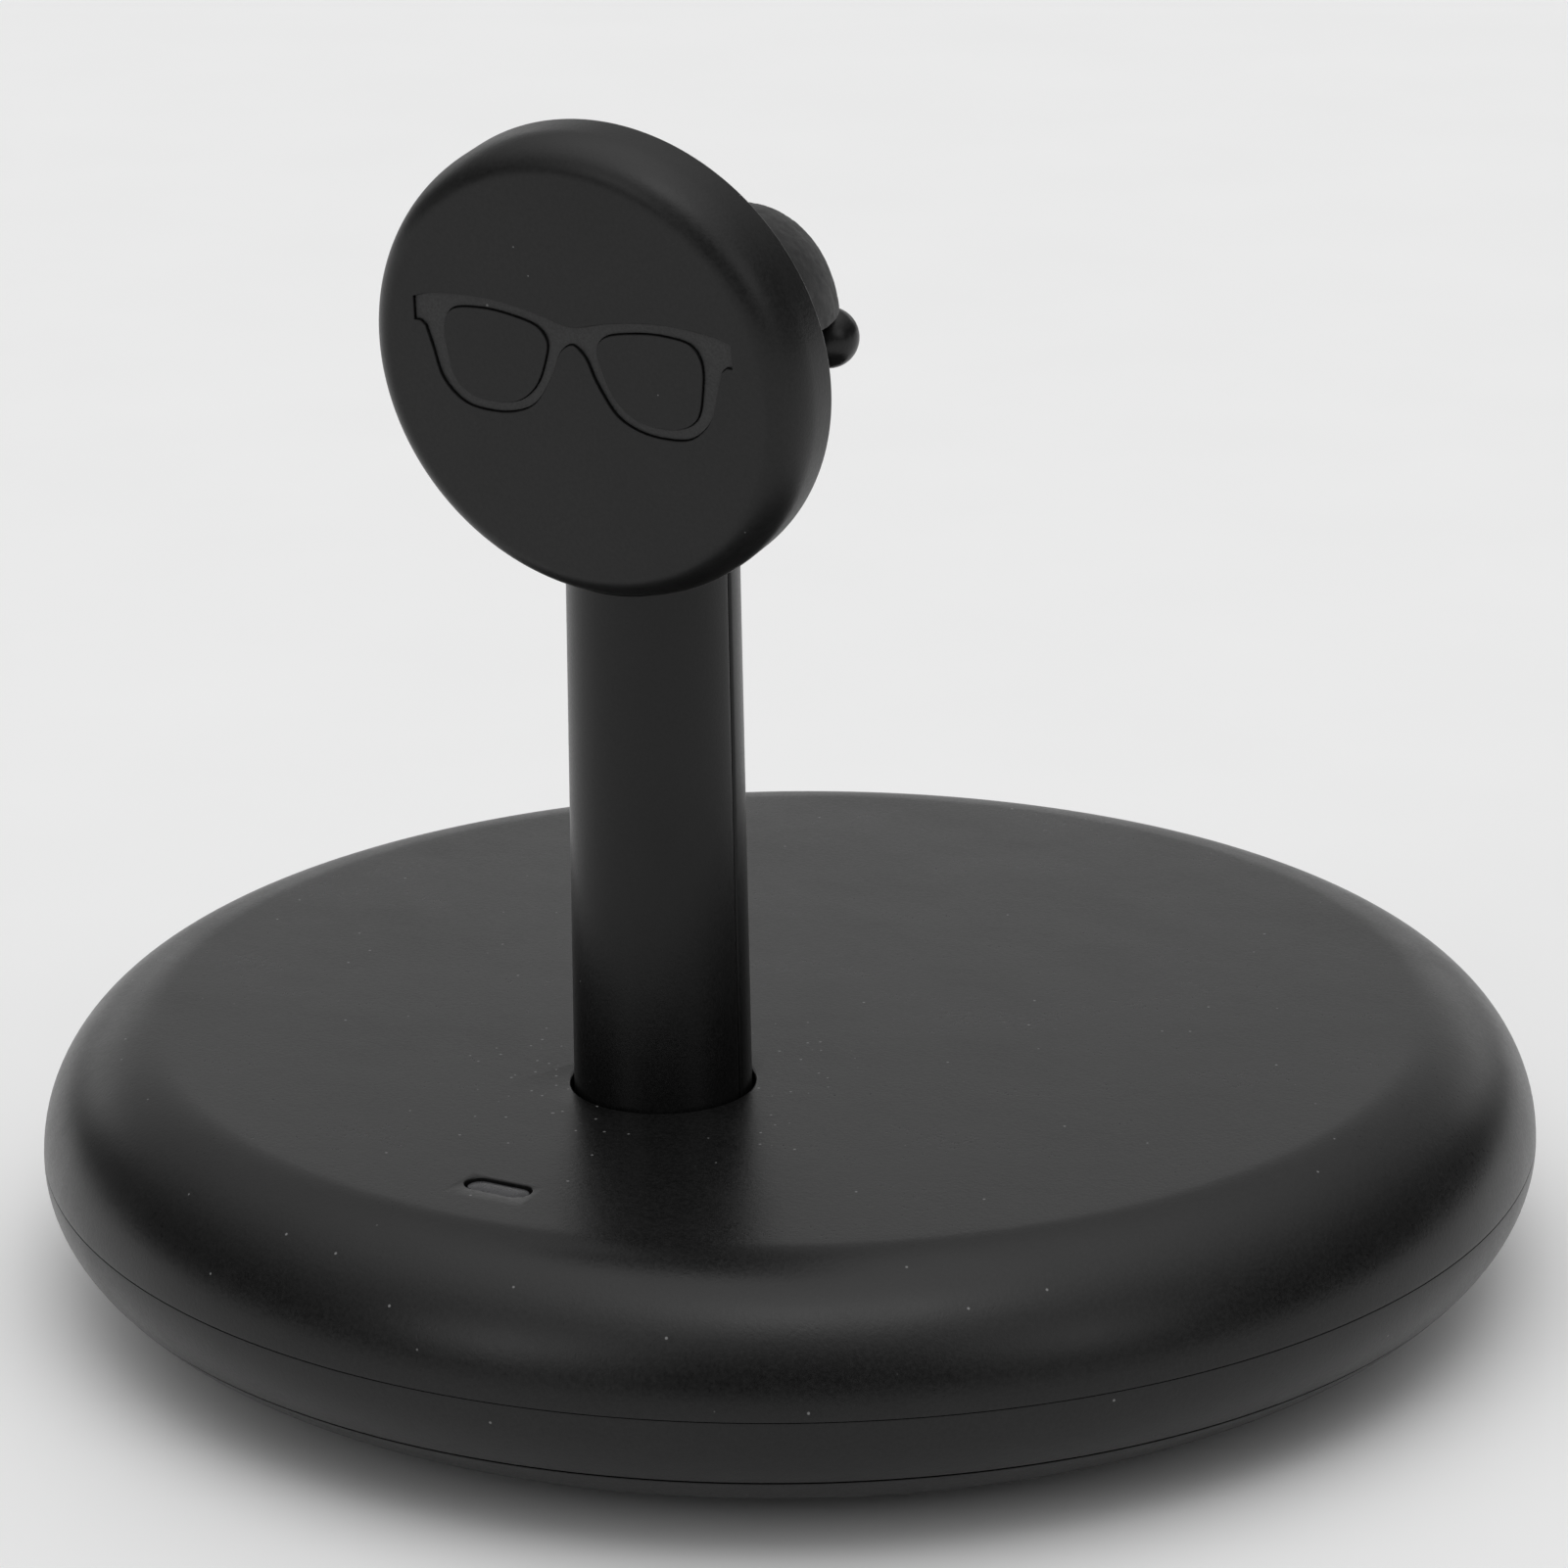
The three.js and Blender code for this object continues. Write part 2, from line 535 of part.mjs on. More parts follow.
// Head, in its own frame: x across, y up the face, z out of the face.
function headFrontCup() {
  const rim = HEAD_R - CUP_WALL;
  const profile = [
    [0, 0],
    ...arc(HEAD_R - FACE_EASE_R, -FACE_EASE_Z, FACE_EASE_R, FACE_EASE_Z, 90, 0, 6),
    ...arc(HEAD_R - 0.3, -HEAD_DEPTH + 0.3, 0.3, 0.3, 0, -90, 2),
    [rim, -HEAD_DEPTH],
    [rim, -FACE_EASE_Z],
    [rim - 1, -FACE_WALL],
    [0, -FACE_WALL],
  ];
  const bossR = 2.1;
  const pilotR = 0.95;
  const bosses = sides.map((s) => rod(bossR, -3.2, -FACE_WALL + 0.4, s * HEAD_SCREW_X, 0, 12));
  const pilots = sides.map((s) => rod(pilotR, -4, -1.2, s * HEAD_SCREW_X, 0, 8));
  const pocket = slab(emblemShape(0), -POCKET_DEPTH, 1);
  return mesh("head_front_cup", cut(join(turn(profile, 48), ...bosses), ...pilots, pocket), "head");
}

// The plate that closes the cup, with a C-shaped collar round the column's front half; in the stand's frame.
function headRearPlate() {
  const front = -HEAD_DEPTH + 0.1 + PLATE_T;
  const inHead = (geometry) => solid(geometry.applyMatrix4(HEAD_FRAME));
  const cylinder = (r, z0, z1, x, count) => {
    const geometry = new THREE.CylinderGeometry(r, r, z1 - z0, count).rotateX(Math.PI / 2);
    return geometry.translate(x, 0, (z0 + z1) / 2);
  };
  const disc = inHead(cylinder(HEAD_R - CUP_WALL - 0.3, front - PLATE_T, front, 0, 48));
  const inFront = new THREE.BoxGeometry(40, 40, 20).translate(0, 0, front - PLATE_T / 2 + 10);
  const collar = cut(
    rod(COLLAR_R, COLLAR_Z, COLLAR_Z + COLLAR_H, 0, COLUMN_Y, 40),
    rod(COLLAR_BORE_R, COLLAR_Z - 1, COLLAR_Z + COLLAR_H + 1, 0, COLUMN_Y, 40),
    block([-9, COLUMN_Y + 1.2, 50], [9, 0, 80]),
    inHead(inFront),
  );
  const reach = 1.75;
  const flats = sides.map((s) => {
    const ends = [s * COLLAR_FLAT_X, s * 12].sort((a, b) => a - b);
    return block(
      [ends[0], COLLAR_SCREW_Y - reach, COLLAR_SCREW_Z - reach],
      [ends[1], COLLAR_SCREW_Y + reach, COLLAR_SCREW_Z + reach],
    );
  });
  const holes = sides.map((s) => inHead(cylinder(1.15, -9, 0, s * HEAD_SCREW_X, 12)));
  return mesh("head_rear_plate", cut(join(disc, collar), ...flats, ...holes, ...collarHoles()), "head");
}

// A clockwise loop of points drawn in by a distance; a negative one draws it out.
function drawnIn(loop, distance) {
  return loop.map(({ x, y }, i) => {
    const before = loop.at(i - 1);
    const after = loop[(i + 1) % loop.length];
    const along = new THREE.Vector2().subVectors(after, before).normalize();
    return new THREE.Vector2(x + along.y * distance, y - along.x * distance);
  });
}

// A spectacle front as a flat outline with two lens openings, its edges drawn in by a gap.
function emblemShape(gap) {
  const tabX = 11.15;
  const tabY = 2.52;
  const notch = [[10.75, tabY], [10.4, 2.22]];
  const brow = [[0, 3.6], [2.5, 4.17], [5.9, 4.64], [9.9, 4.42], [tabX - 0.05, 4.07]];
  const rim = [
    [10.05, 1.02], [9.4, -1.18], [8, -2.53], [6.1, -2.83],
    [4.3, -2.58], [2.9, -1.83], [1.6, 0.12], [0.8, 1.87],
  ];
  const lens = [
    [1.75, 2.42], [2.3, 3.22], [4.3, 3.77], [6.5, 3.92], [8.4, 3.57], [9, 2.62], [8.95, 0.72],
    [8.45, -1.18], [7.3, -1.98], [5.5, -2.13], [4, -1.78], [2.8, -0.73], [2, 1.02],
  ];
  const at = (side) => ([x, y]) => new THREE.Vector2(side * x, y);
  const mirrored = (points) => points.map(at(-1)).reverse();
  const [browStart, ...browRest] = [...mirrored(brow), ...brow.slice(1).map(at(1))];
  const outline = new THREE.Path().moveTo(browStart.x, browStart.y);
  outline.splineThru(browRest);
  outline.lineTo(tabX, tabY);
  notch.forEach(([x, y]) => outline.lineTo(x, y));
  outline.splineThru([...rim.map(at(1)), new THREE.Vector2(0, 2.42), ...mirrored(rim)]);
  notch.toReversed().forEach(([x, y]) => outline.lineTo(-x, y));
  outline.lineTo(-tabX, tabY);
  const centre = new THREE.Vector2();
  const seated = (loop) => loop.map((point) => point.rotateAround(centre, EMBLEM_ROLL).add(EMBLEM_AT));
  const shape = new THREE.Shape(seated(drawnIn(outline.getPoints(3), gap)));
  sides.forEach((s) => {
    const loop = lens.map(([x, y]) => new THREE.Vector3(s * x, y, 0));
    if (s < 0) loop.reverse();
    const points = new THREE.CatmullRomCurve3(loop, true).getPoints(34).slice(0, -1);
    shape.holes.push(new THREE.Path(seated(drawnIn(points, -gap)).reverse()));
  });
  return shape;
}

// The emblem is a thin inlay in the cup's pocket, its surface a little below the face.
function glassesEmblem() {
  const top = -EMBLEM_DROP;
  return mesh("glasses_emblem", slab(emblemShape(EMBLEM_GAP), top - EMBLEM_H, top), "emblem");
}

// Nose.
function nosePad() {
  const dome = new THREE.SphereGeometry(1, 32, 20);
  dome.scale(PAD_RADII.x, PAD_RADII.y, PAD_RADII.z);
  dome.translate(PAD_CENTRE.x, PAD_CENTRE.y, PAD_CENTRE.z);
  const hood = new THREE.SphereGeometry(1, 32, 16).rotateX(Math.PI / 2);
  hood.scale(HOOD_R, HOOD_R, HOOD_RISE).translate(0, COLUMN_Y, HOOD_Z);
  const skirt = rod(HOOD_R, PAD_FLOOR_Z - 1, HOOD_Z, 0, COLUMN_Y, 32);
  const below = block([-9, -30, 40], [9, 20, PAD_FLOOR_Z]);
  const column = rod(columnRadius(COLUMN_TOP_Z) + 0.35, 50, COLUMN_TOP_Z + 0.3, 0, COLUMN_Y, 48);
  const window = new THREE.BoxGeometry(HOUSING_W + 0.4, HOUSING_T + 0.4, 9).translate(0, 0, -3);
  const land = new THREE.BoxGeometry(9, 4.6, 6).translate(0, 0, 3 - LAND_DROP);
  const tools = [window, land].map((geometry) => solid(geometry.applyMatrix4(CONTACT_FRAME)));
  const pad = join(solid(dome), solid(hood), skirt);
  return mesh("nose_pad", cut(pad, below, column, headEnvelope(0.3), ...tools), "soft");
}

// The arm is a side outline, deeper at its root, given its width along X.
function noseArm() {
  const rear = TIP_CENTRE.y - TIP_R - 0.25;
  const front = COLUMN_Y + SPINE_R + 0.3;
  const outline = new THREE.Shape();
  outline.moveTo(front, ARM_TOP_Z);
  outline.lineTo(front, ARM_TOP_Z - ARM_ROOT_H);
  outline.lineTo(front + 3, ARM_TOP_Z - ARM_ROOT_H);
  outline.quadraticCurveTo(front + 5.5, ARM_TOP_Z - ARM_H, rear - 1, ARM_TOP_Z - ARM_H);
  outline.lineTo(rear, ARM_TOP_Z - ARM_H + 1);
  outline.lineTo(rear, ARM_TOP_Z);
  const settings = { depth: ARM_W, bevelEnabled: false, curveSegments: 5 };
  const geometry = new THREE.ExtrudeGeometry(outline, settings);
  const sideways = new THREE.Matrix4().makeBasis(
    new THREE.Vector3(0, 1, 0),
    new THREE.Vector3(0, 0, 1),
    new THREE.Vector3(1, 0, 0),
  );
  const bar = solid(geometry.translate(0, 0, -ARM_W / 2).applyMatrix4(sideways));
  const peg = rodY(TIP_PEG_R, rear - 1, TIP_CENTRE.y, 0, TIP_CENTRE.z);
  const grooveX = HARNESS_R + 0.4;
  const grooveFloor = ARM_TOP_Z - 2.9;
  const groove = block([-grooveX, front - 1, grooveFloor], [grooveX, -3.6, ARM_TOP_Z + 1]);
  return mesh("nose_arm", cut(join(bar, peg), groove), "shell");
}

function noseTip() {
  const capsule = new THREE.CapsuleGeometry(TIP_R, 2 * TIP_HALF, 6, 16).rotateZ(Math.PI / 2);
  capsule.translate(TIP_CENTRE.x, TIP_CENTRE.y, TIP_CENTRE.z);
  const hole = rodY(TIP_PEG_R + 0.2, TIP_CENTRE.y - 2 * TIP_R, TIP_CENTRE.y + 0.3, 0, TIP_CENTRE.z);
  return mesh("nose_tip", cut(solid(capsule), hole), "shell");
}

// Contacts, in their own frame: z is the way the pins point.
const FACE_Z = -LAND_DROP - 0.05;

function contactHousing() {
  const back = FACE_Z - HOUSING_L;
  const x = HOUSING_W / 2;
  const y = HOUSING_T / 2;
  const body = block([-x, -y, back], [x, y, FACE_Z]);
  const bores = sides.flatMap((s) => [
    rod(PIN_COLLAR_R + 0.08, back + 0.4, FACE_Z - 0.5, s * CONTACT_X, 0, 16),
    rod(PIN_R + 0.08, FACE_Z - 1, FACE_Z + 1, s * CONTACT_X, 0, 16),
    rod(0.3, back - 1, FACE_Z - 2, s * CONTACT_X, 0, 8),
  ]);
  return mesh("contact_housing", cut(body, ...bores), "bracket");
}

// A sprung pin with a collar that stops it under the housing's face.
function contactPin(name) {
  const crown = 0.35;
  const profile = [
    [0, PIN_OUT],
    ...arc(0, PIN_OUT - crown, PIN_R, crown, 60, 0, 2),
    [PIN_R, PIN_COLLAR_Z],
    [PIN_COLLAR_R, PIN_COLLAR_Z],
    [PIN_COLLAR_R, PIN_COLLAR_Z - 0.72],
    [0, PIN_COLLAR_Z - 0.72],
  ];
  return mesh(name, turn(profile, 16), "contact");
}

function place(object, x, y, z) {
  object.position.set(x, y, z);
  return object;
}

const stand = new THREE.Group();
stand.add(baseTopShell(), baseLowerShell(), bottomCover(), footRing(), ballastPlate());
stand.add(mainBoard(), powerInlet(), lampBoard(), lampChip(), lightPipe());
stand.add(columnSocket(), columnShell("column_front_shell", -1), columnShell("column_rear_shell", 1));
stand.add(columnSpine(), wireHarness(), headRearPlate(), nosePad(), noseArm(), noseTip());

corners.forEach(([x, y], i) => {
  const screw = place(panScrew(`base_screw_${i + 1}`, 2.6, 1.8, 1.3, 10), x, y, SCREW_SEAT_Z);
  screw.rotation.x = Math.PI;
  stand.add(screw);
});
sides.forEach((s, i) => {
  const number = i + 1;
  const socketScrew = panScrew(`socket_screw_${number}`, 1.8, 1.3, 1.2, 3.8);
  stand.add(place(socketScrew, s * SOCKET_SCREW_X, COLUMN_Y, SOCKET_FLOOR_Z + 0.05));
  const boardScrew = panScrew(`board_screw_${number}`, 1.9, 1.2, 0.9, 3);
  stand.add(place(boardScrew, s * BOARD_SCREW.x, BOARD_SCREW.y, BOARD_Z + BOARD_H + 0.05));
  const collarScrew = panScrew(`collar_screw_${number}`, 1.5, 0.7, 0.75, 3.2);
  collarScrew.rotation.y = (s * Math.PI) / 2;
  stand.add(place(collarScrew, s * (COLLAR_FLAT_X + 0.05), COLLAR_SCREW_Y, COLLAR_SCREW_Z));
});

const head = place(new THREE.Group(), FACE_CENTRE.x, FACE_CENTRE.y, FACE_CENTRE.z);
head.rotation.x = HEAD_TURN;
head.add(headFrontCup(), glassesEmblem());
sides.forEach((s, i) => {
  const screw = panScrew(`head_screw_${i + 1}`, 1.7, 0.9, 0.8, 2.8);
  screw.rotation.x = Math.PI;
  head.add(place(screw, s * HEAD_SCREW_X, 0, -HEAD_DEPTH));
});

const contacts = place(new THREE.Group(), CONTACT_AT.x, CONTACT_AT.y, CONTACT_AT.z);
contacts.rotation.x = CONTACT_TURN;
contacts.add(contactHousing());
sides.forEach((s, i) => contacts.add(place(contactPin(`contact_pin_${i + 1}`), s * CONTACT_X, 0, FACE_Z)));

stand.add(head, contacts);

export default stand;
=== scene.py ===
import math

import bmesh
import bpy
from mathutils import Matrix, Vector, noise


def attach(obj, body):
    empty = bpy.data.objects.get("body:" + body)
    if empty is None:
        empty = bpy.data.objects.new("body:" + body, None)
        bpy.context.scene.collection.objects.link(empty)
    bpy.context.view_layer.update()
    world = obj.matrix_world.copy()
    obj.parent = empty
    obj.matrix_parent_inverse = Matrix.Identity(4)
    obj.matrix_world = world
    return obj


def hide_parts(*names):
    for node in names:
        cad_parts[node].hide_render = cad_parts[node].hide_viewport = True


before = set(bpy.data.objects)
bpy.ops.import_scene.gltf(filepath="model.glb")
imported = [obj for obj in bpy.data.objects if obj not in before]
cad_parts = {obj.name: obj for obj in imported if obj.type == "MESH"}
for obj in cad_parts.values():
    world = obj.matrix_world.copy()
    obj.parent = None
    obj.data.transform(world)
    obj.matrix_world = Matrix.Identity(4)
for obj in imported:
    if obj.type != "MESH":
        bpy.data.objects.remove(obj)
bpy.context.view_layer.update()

# Everything is modelled in millimetres, in the CAD frame, and scaled to metres when an object is made.
MM = 0.001
TAU = 2 * math.pi

# Base.
BASE_R = 50
BASE_TOP = 18.3
WIDEST_Z = 9.9
SHOULDER_RUN = 8.2
BELLY_RUN = 14.9
UNDERSIDE_Z = 0.55
WALL = 2
UPPER_SEAM_Z = 10.2
LOWER_SEAM_Z = 5.4
SEAM_GAP = 0.12
LIP_R = 46.2
LIP_WALL = 1.3
LIP_RISE = 1.4
FOOT_OUT_R = 35.5
FOOT_IN_R = 29.8
FOOT_H = 1
SCREW_X = 17
SCREW_SEAT_Z = 3.1
SCREW_BOSS_R = 3.6
SCREW_BOSS_Z = 5.3
BOARD_SCREW_X = 8.5
BOARD_SCREW_Y = 37
BOARD_SEAT_Z = 6.35
STAKE_X = 4.4
STAKE_Y = -35.2
LAMP_Y = -37.15
LAMP_L = 4.6
LAMP_W = 2
INLET_W = 8.94
INLET_T = 3.2
INLET_L = 7.4
INLET_Y = 48.9
INLET_Z = 7.97

# Column.
COLUMN_Y = -16.77
COLUMN_FOOT_Z = 7
COLUMN_TOP_Z = 70
COLUMN_R = 5.75
COLUMN_DRAFT = 0.0077
COLUMN_BORE_R = 3.8
MOUTH_R = 5.95
SOCKET_SCREW_X = 9.9
SOCKET_SEAT_Z = 6.85
WIRE_SLOT_W = 3.4
WIRE_SLOT_TOP = 13.5
ARM_GAP = 0.2

# Head: x across, y up the face, z out of the face, in its own frame.
HEAD_R = 15.07
HEAD_DEPTH = 5.1
HEAD_TILT = math.radians(8.4)
FACE_CENTRE = Vector((0, -25.75, 66.85))
FACE_EASE_R = 2
FACE_EASE_Z = 3
CUP_WALL = 1.66
FACE_WALL = 1.9
HEAD_GAP = 0.05
PLATE_T = 1.5
HEAD_SCREW_X = 10.2
COLLAR_R = 7.6
COLLAR_BORE_R = 5.9
COLLAR_Z = 57.6
COLLAR_H = 8
COLLAR_FLAT_X = 7.2
COLLAR_PILOT_R = 0.95
COLLAR_SCREW_Y = COLUMN_Y - 1.9
COLLAR_SCREW_Z = COLLAR_Z + COLLAR_H / 2
EMBLEM_H = 0.26
EMBLEM_DROP = 0.22
EMBLEM_GAP = 0.03
POCKET_DEPTH = 0.51
POCKET_EASE = 0.06
EMBLEM_AT = (-0.05, -0.09)
EMBLEM_ROLL = math.radians(-1.8)

# Nose rest.
PAD_CENTRE = Vector((0, -6.9, 65))
PAD_RADII = Vector((6, 10.4, 8.9))
PAD_FLOOR_Z = 66
PAD_HEAD_GAP = 0.3
PAD_VOXEL = 0.3
PAD_RELAX = 8
CREASE_DEPTH = 0.035
CREASE_EDGE_Y = -11
PAD_SHRINK = 0.05
HOOD_R = 6
HOOD_Z = 68
HOOD_RISE = 4.6
ARM_W = 6.4
ARM_TOP_Z = 65.6
ARM_H = 3.2
ARM_ROOT_H = 5.6
SPINE_R = 3.5
TIP_R = 2
TIP_HALF = 3
TIP_CENTRE = Vector((0, 1.06, 63.87))
CONTACT_AT = Vector((0, 2.02, 69.58))
CONTACT_RISE = math.radians(35)
CONTACT_X = 1.3
LAND_DROP = 0.95
PIN_R = 0.6
PIN_OUT = 0.6
HOUSING_L = 3
HOUSING_W = 5.2
HOUSING_T = 2.8

HEAD_FRAME = Matrix.Translation(FACE_CENTRE) @ Matrix.Rotation(math.pi / 2 + HEAD_TILT, 4, "X")
CONTACT_FRAME = Matrix.Translation(CONTACT_AT) @ Matrix.Rotation(CONTACT_RISE - math.pi / 2, 4, "X")
FACE_Z = -LAND_DROP - 0.05
SIDES = (-1, 1)
CORNERS = ((1, 1), (-1, 1), (-1, -1), (1, -1))


# ---- Mesh building ----


def mesh_of(points, faces):
    """A mesh from points and faces, with its faces turned outwards."""
    made = bpy.data.meshes.new("shape")
    made.from_pydata([tuple(p) for p in points], [], faces)
    work = bmesh.new()
    work.from_mesh(made)
    bmesh.ops.remove_doubles(work, verts=work.verts, dist=1e-5)
    bmesh.ops.recalc_face_normals(work, faces=work.faces)
    work.to_mesh(made)
    work.free()
    return made


def arc(cx, cz, rx, rz, start, end, steps):
    """Points on an ellipse between two angles in degrees."""
    angles = [math.radians(start + (end - start) * i / steps) for i in range(steps + 1)]
    return [(cx + rx * math.cos(a), cz + rz * math.sin(a)) for a in angles]


def angle_at(rise, radius):
    return math.degrees(math.asin(rise / radius))


def lathe(profile, sides=192, y=0.0, closed=False):
    """A (radius, height) profile turned about an upright axis through (0, y)."""
    points = []
    rings = []
    for r, z in profile:
        if r < 1e-6:
            rings.append([len(points)])
            points.append((0, y, z))
            continue
        rings.append(list(range(len(points), len(points) + sides)))
        points += [
            (r * math.cos(TAU * i / sides), y + r * math.sin(TAU * i / sides), z) for i in range(sides)
        ]
    faces = []
    pairs = list(zip(rings, rings[1:]))
    if closed:
        pairs.append((rings[-1], rings[0]))
    for low, high in pairs:
        if len(low) == 1 and len(high) == 1:
            continue
        for i in range(sides):
            j = (i + 1) % sides
            a, b = low[i % len(low)], low[j % len(low)]
            c, d = high[j % len(high)], high[i % len(high)]
            faces.append(list(dict.fromkeys((a, b, c, d))))
    return mesh_of(points, faces)


def loft(sections):
    """A closed body through loops of points of equal count, capped at both ends."""
    count = len(sections[0])
    points = [p for section in sections for p in section]
    faces = []
    for k in range(len(sections) - 1):
        for i in range(count):
            j = (i + 1) % count
            faces.append((k * count + i, k * count + j, (k + 1) * count + j, (k + 1) * count + i))
    last = (len(sections) - 1) * count
    faces.append(tuple(range(count)))
    faces.append(tuple(last + i for i in range(count)))
    return mesh_of(points, faces)


def stadium(length, width, steps=14, grow=0.0):
    """A slot outline along x with round ends, as (x, y) points."""
    r = width / 2 + grow
    run = (length - width) / 2
    right = arc(run, 0, r, r, -90, 90, steps)
    left = arc(-run, 0, r, r, 90, 270, steps)
    return right + left


def rounded_rect(width, height, corner, steps=6):
    x, y = width / 2 - corner, height / 2 - corner
    points = []
    for cx, cy, start in ((x, y, 0), (-x, y, 90), (-x, -y, 180), (x, -y, 270)):
        points += arc(cx, cy, corner, corner, start, start + 90, steps)
    return points


def box(low, high):
    (x0, y0, z0), (x1, y1, z1) = low, high
    return loft([[(x0, y0, z), (x1, y0, z), (x1, y1, z), (x0, y1, z)] for z in (z0, z1)])


def rod(r, z0, z1, x=0.0, y=0.0, sides=64):
    made = lathe([(0, z0), (r, z0), (r, z1), (0, z1)], sides)
    made.transform(Matrix.Translation((x, y, 0)))
    return made


def moved(shape, matrix):
    shape.transform(matrix)
    return shape


def combine(body, tools, operation):
    """The body cut by, or joined with, each tool in turn."""
    holder = bpy.data.objects.new("holder", body)
    bpy.context.scene.collection.objects.link(holder)
    helpers = []
    for tool in tools:
        helper = bpy.data.objects.new("tool", tool)
        bpy.context.scene.collection.objects.link(helper)
        change = holder.modifiers.new("combine", "BOOLEAN")
        change.operation = operation
        change.solver = "EXACT"
        change.object = helper
        helpers.append(helper)
    graph = bpy.context.evaluated_depsgraph_get()
    made = bpy.data.meshes.new_from_object(holder.evaluated_get(graph))
    for extra in [holder, *helpers]:
        bpy.data.objects.remove(extra)
    return made


def cut(body, *tools):
    return combine(body, tools, "DIFFERENCE")


def join(body, *tools):
    return combine(body, tools, "UNION")


def eased(body, width, steps=3, angle=40):
    """The body with its sharp edges rounded by a bevel."""
    holder = bpy.data.objects.new("holder", body)
    bpy.context.scene.collection.objects.link(holder)
    change = holder.modifiers.new("ease", "BEVEL")
    change.width = width
    change.segments = steps
    change.limit_method = "ANGLE"
    change.angle_limit = math.radians(angle)
    change.use_clamp_overlap = True
    graph = bpy.context.evaluated_depsgraph_get()
    made = bpy.data.meshes.new_from_object(holder.evaluated_get(graph))
    bpy.data.objects.remove(holder)
    return made


def piece(name, shape, body, material, replaced, angle=32, place=None):
    """A finished object in metres that rides on a body and stands for its CAD nodes."""
    if place:
        shape.transform(place)
    shape.transform(Matrix.Scale(MM, 4))
    shape.shade_smooth()
    shape.set_sharp_from_angle(angle=math.radians(angle))
    shape.materials.clear()
    shape.materials.append(material)
    made = bpy.data.objects.new(name, shape)
    bpy.context.scene.collection.objects.link(made)
    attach(made, body)
    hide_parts(*replaced)
    return made


# ---- Materials ----


class Nodes:
    """Short calls for building one material's node tree."""

    def __init__(self, name):
        self.material = bpy.data.materials.new(name)
        self.material.use_nodes = True
        self.tree = self.material.node_tree
        self.shader = self.tree.nodes["Principled BSDF"]
        self.place = self.add("ShaderNodeTexCoord").outputs["Object"]

    def add(self, kind, **settings):
        node = self.tree.nodes.new(kind)
        for key, value in settings.items():
            setattr(node, key, value)
        return node

    def link(self, source, target):
        self.tree.links.new(source, target)

    def set(self, **values):
        for key, value in values.items():
            self.shader.inputs[key.replace("_", " ")].default_value = value

    def mapped(self, scale, turn=(0, 0, 0)):
        node = self.add("ShaderNodeMapping")
        node.inputs["Scale"].default_value = scale
        node.inputs["Rotation"].default_value = turn
        self.link(self.place, node.inputs["Vector"])
        return node.outputs["Vector"]

    def noise(self, scale, detail=2.0, rough=0.5, source=None):
        """Noise from 0 to 1 whose grains are about 1/scale metres."""
        node = self.add("ShaderNodeTexNoise")
        node.inputs["Scale"].default_value = scale
        node.inputs["Detail"].default_value = detail
        node.inputs["Roughness"].default_value = rough
        self.link(source or self.place, node.inputs["Vector"])
        return node.outputs["Fac"]

    def span(self, source, low, high, to_low=0.0, to_high=1.0, smooth=False):
        node = self.add("ShaderNodeMapRange")
        node.interpolation_type = "SMOOTHSTEP" if smooth else "LINEAR"
        for key, value in zip(("From Min", "From Max", "To Min", "To Max"), (low, high, to_low, to_high)):
            node.inputs[key].default_value = value
        self.link(source, node.inputs["Value"])
        return node.outputs["Result"]

    def math(self, operation, a, b):
        node = self.add("ShaderNodeMath", operation=operation)
        for socket, value in zip(node.inputs, (a, b)):
            if isinstance(value, (int, float)):
                socket.default_value = value
            else:
                self.link(value, socket)
        return node.outputs[0]

    def mix(self, factor, a, b):
        node = self.add("ShaderNodeMix", data_type="RGBA")
        self.link(factor, node.inputs["Factor"])
        for key, value in (("A", a), ("B", b)):
            socket = [s for s in node.inputs if s.name == key and s.type == "RGBA"][0]
            if isinstance(value, tuple):
                socket.default_value = (*value, 1)
            else:
                self.link(value, socket)
        return [s for s in node.outputs if s.type == "RGBA"][0]

    def bump(self, height, distance, strength=1.0, under=None):
        node = self.add("ShaderNodeBump")
        node.inputs["Distance"].default_value = distance
        node.inputs["Strength"].default_value = strength
        self.link(height, node.inputs["Height"])
        if under:
            self.link(under, node.inputs["Normal"])
        return node.outputs["Normal"]

    def by_distance(self, centre, low, high, to_low, to_high):
        """A value that changes with the distance from a point in metres."""
        away = self.add("ShaderNodeVectorMath", operation="DISTANCE")
        away.inputs[1].default_value = centre
        self.link(self.place, away.inputs[0])
        return self.span(away.outputs["Value"], low, high, to_low, to_high)

    def specks(self, scale, size, share):
        """Sparse round dots: about one cell in 1/share has a dot of that radius in metres."""
        cells = self.add("ShaderNodeTexVoronoi")
        cells.inputs["Scale"].default_value = scale
        self.link(self.place, cells.inputs["Vector"])
        near = self.span(cells.outputs["Distance"], size * scale, size * scale * 0.6)
        split = self.add("ShaderNodeSeparateColor")
        self.link(cells.outputs["Color"], split.inputs["Color"])
        chosen = self.math("LESS_THAN", split.outputs[0], share)
        return self.math("MULTIPLY", near, chosen)


FOOT = (0, COLUMN_Y * MM, BASE_TOP * MM)
DUST_TONE = (0.16, 0.16, 0.16)
PLASTIC_IOR = 1.38


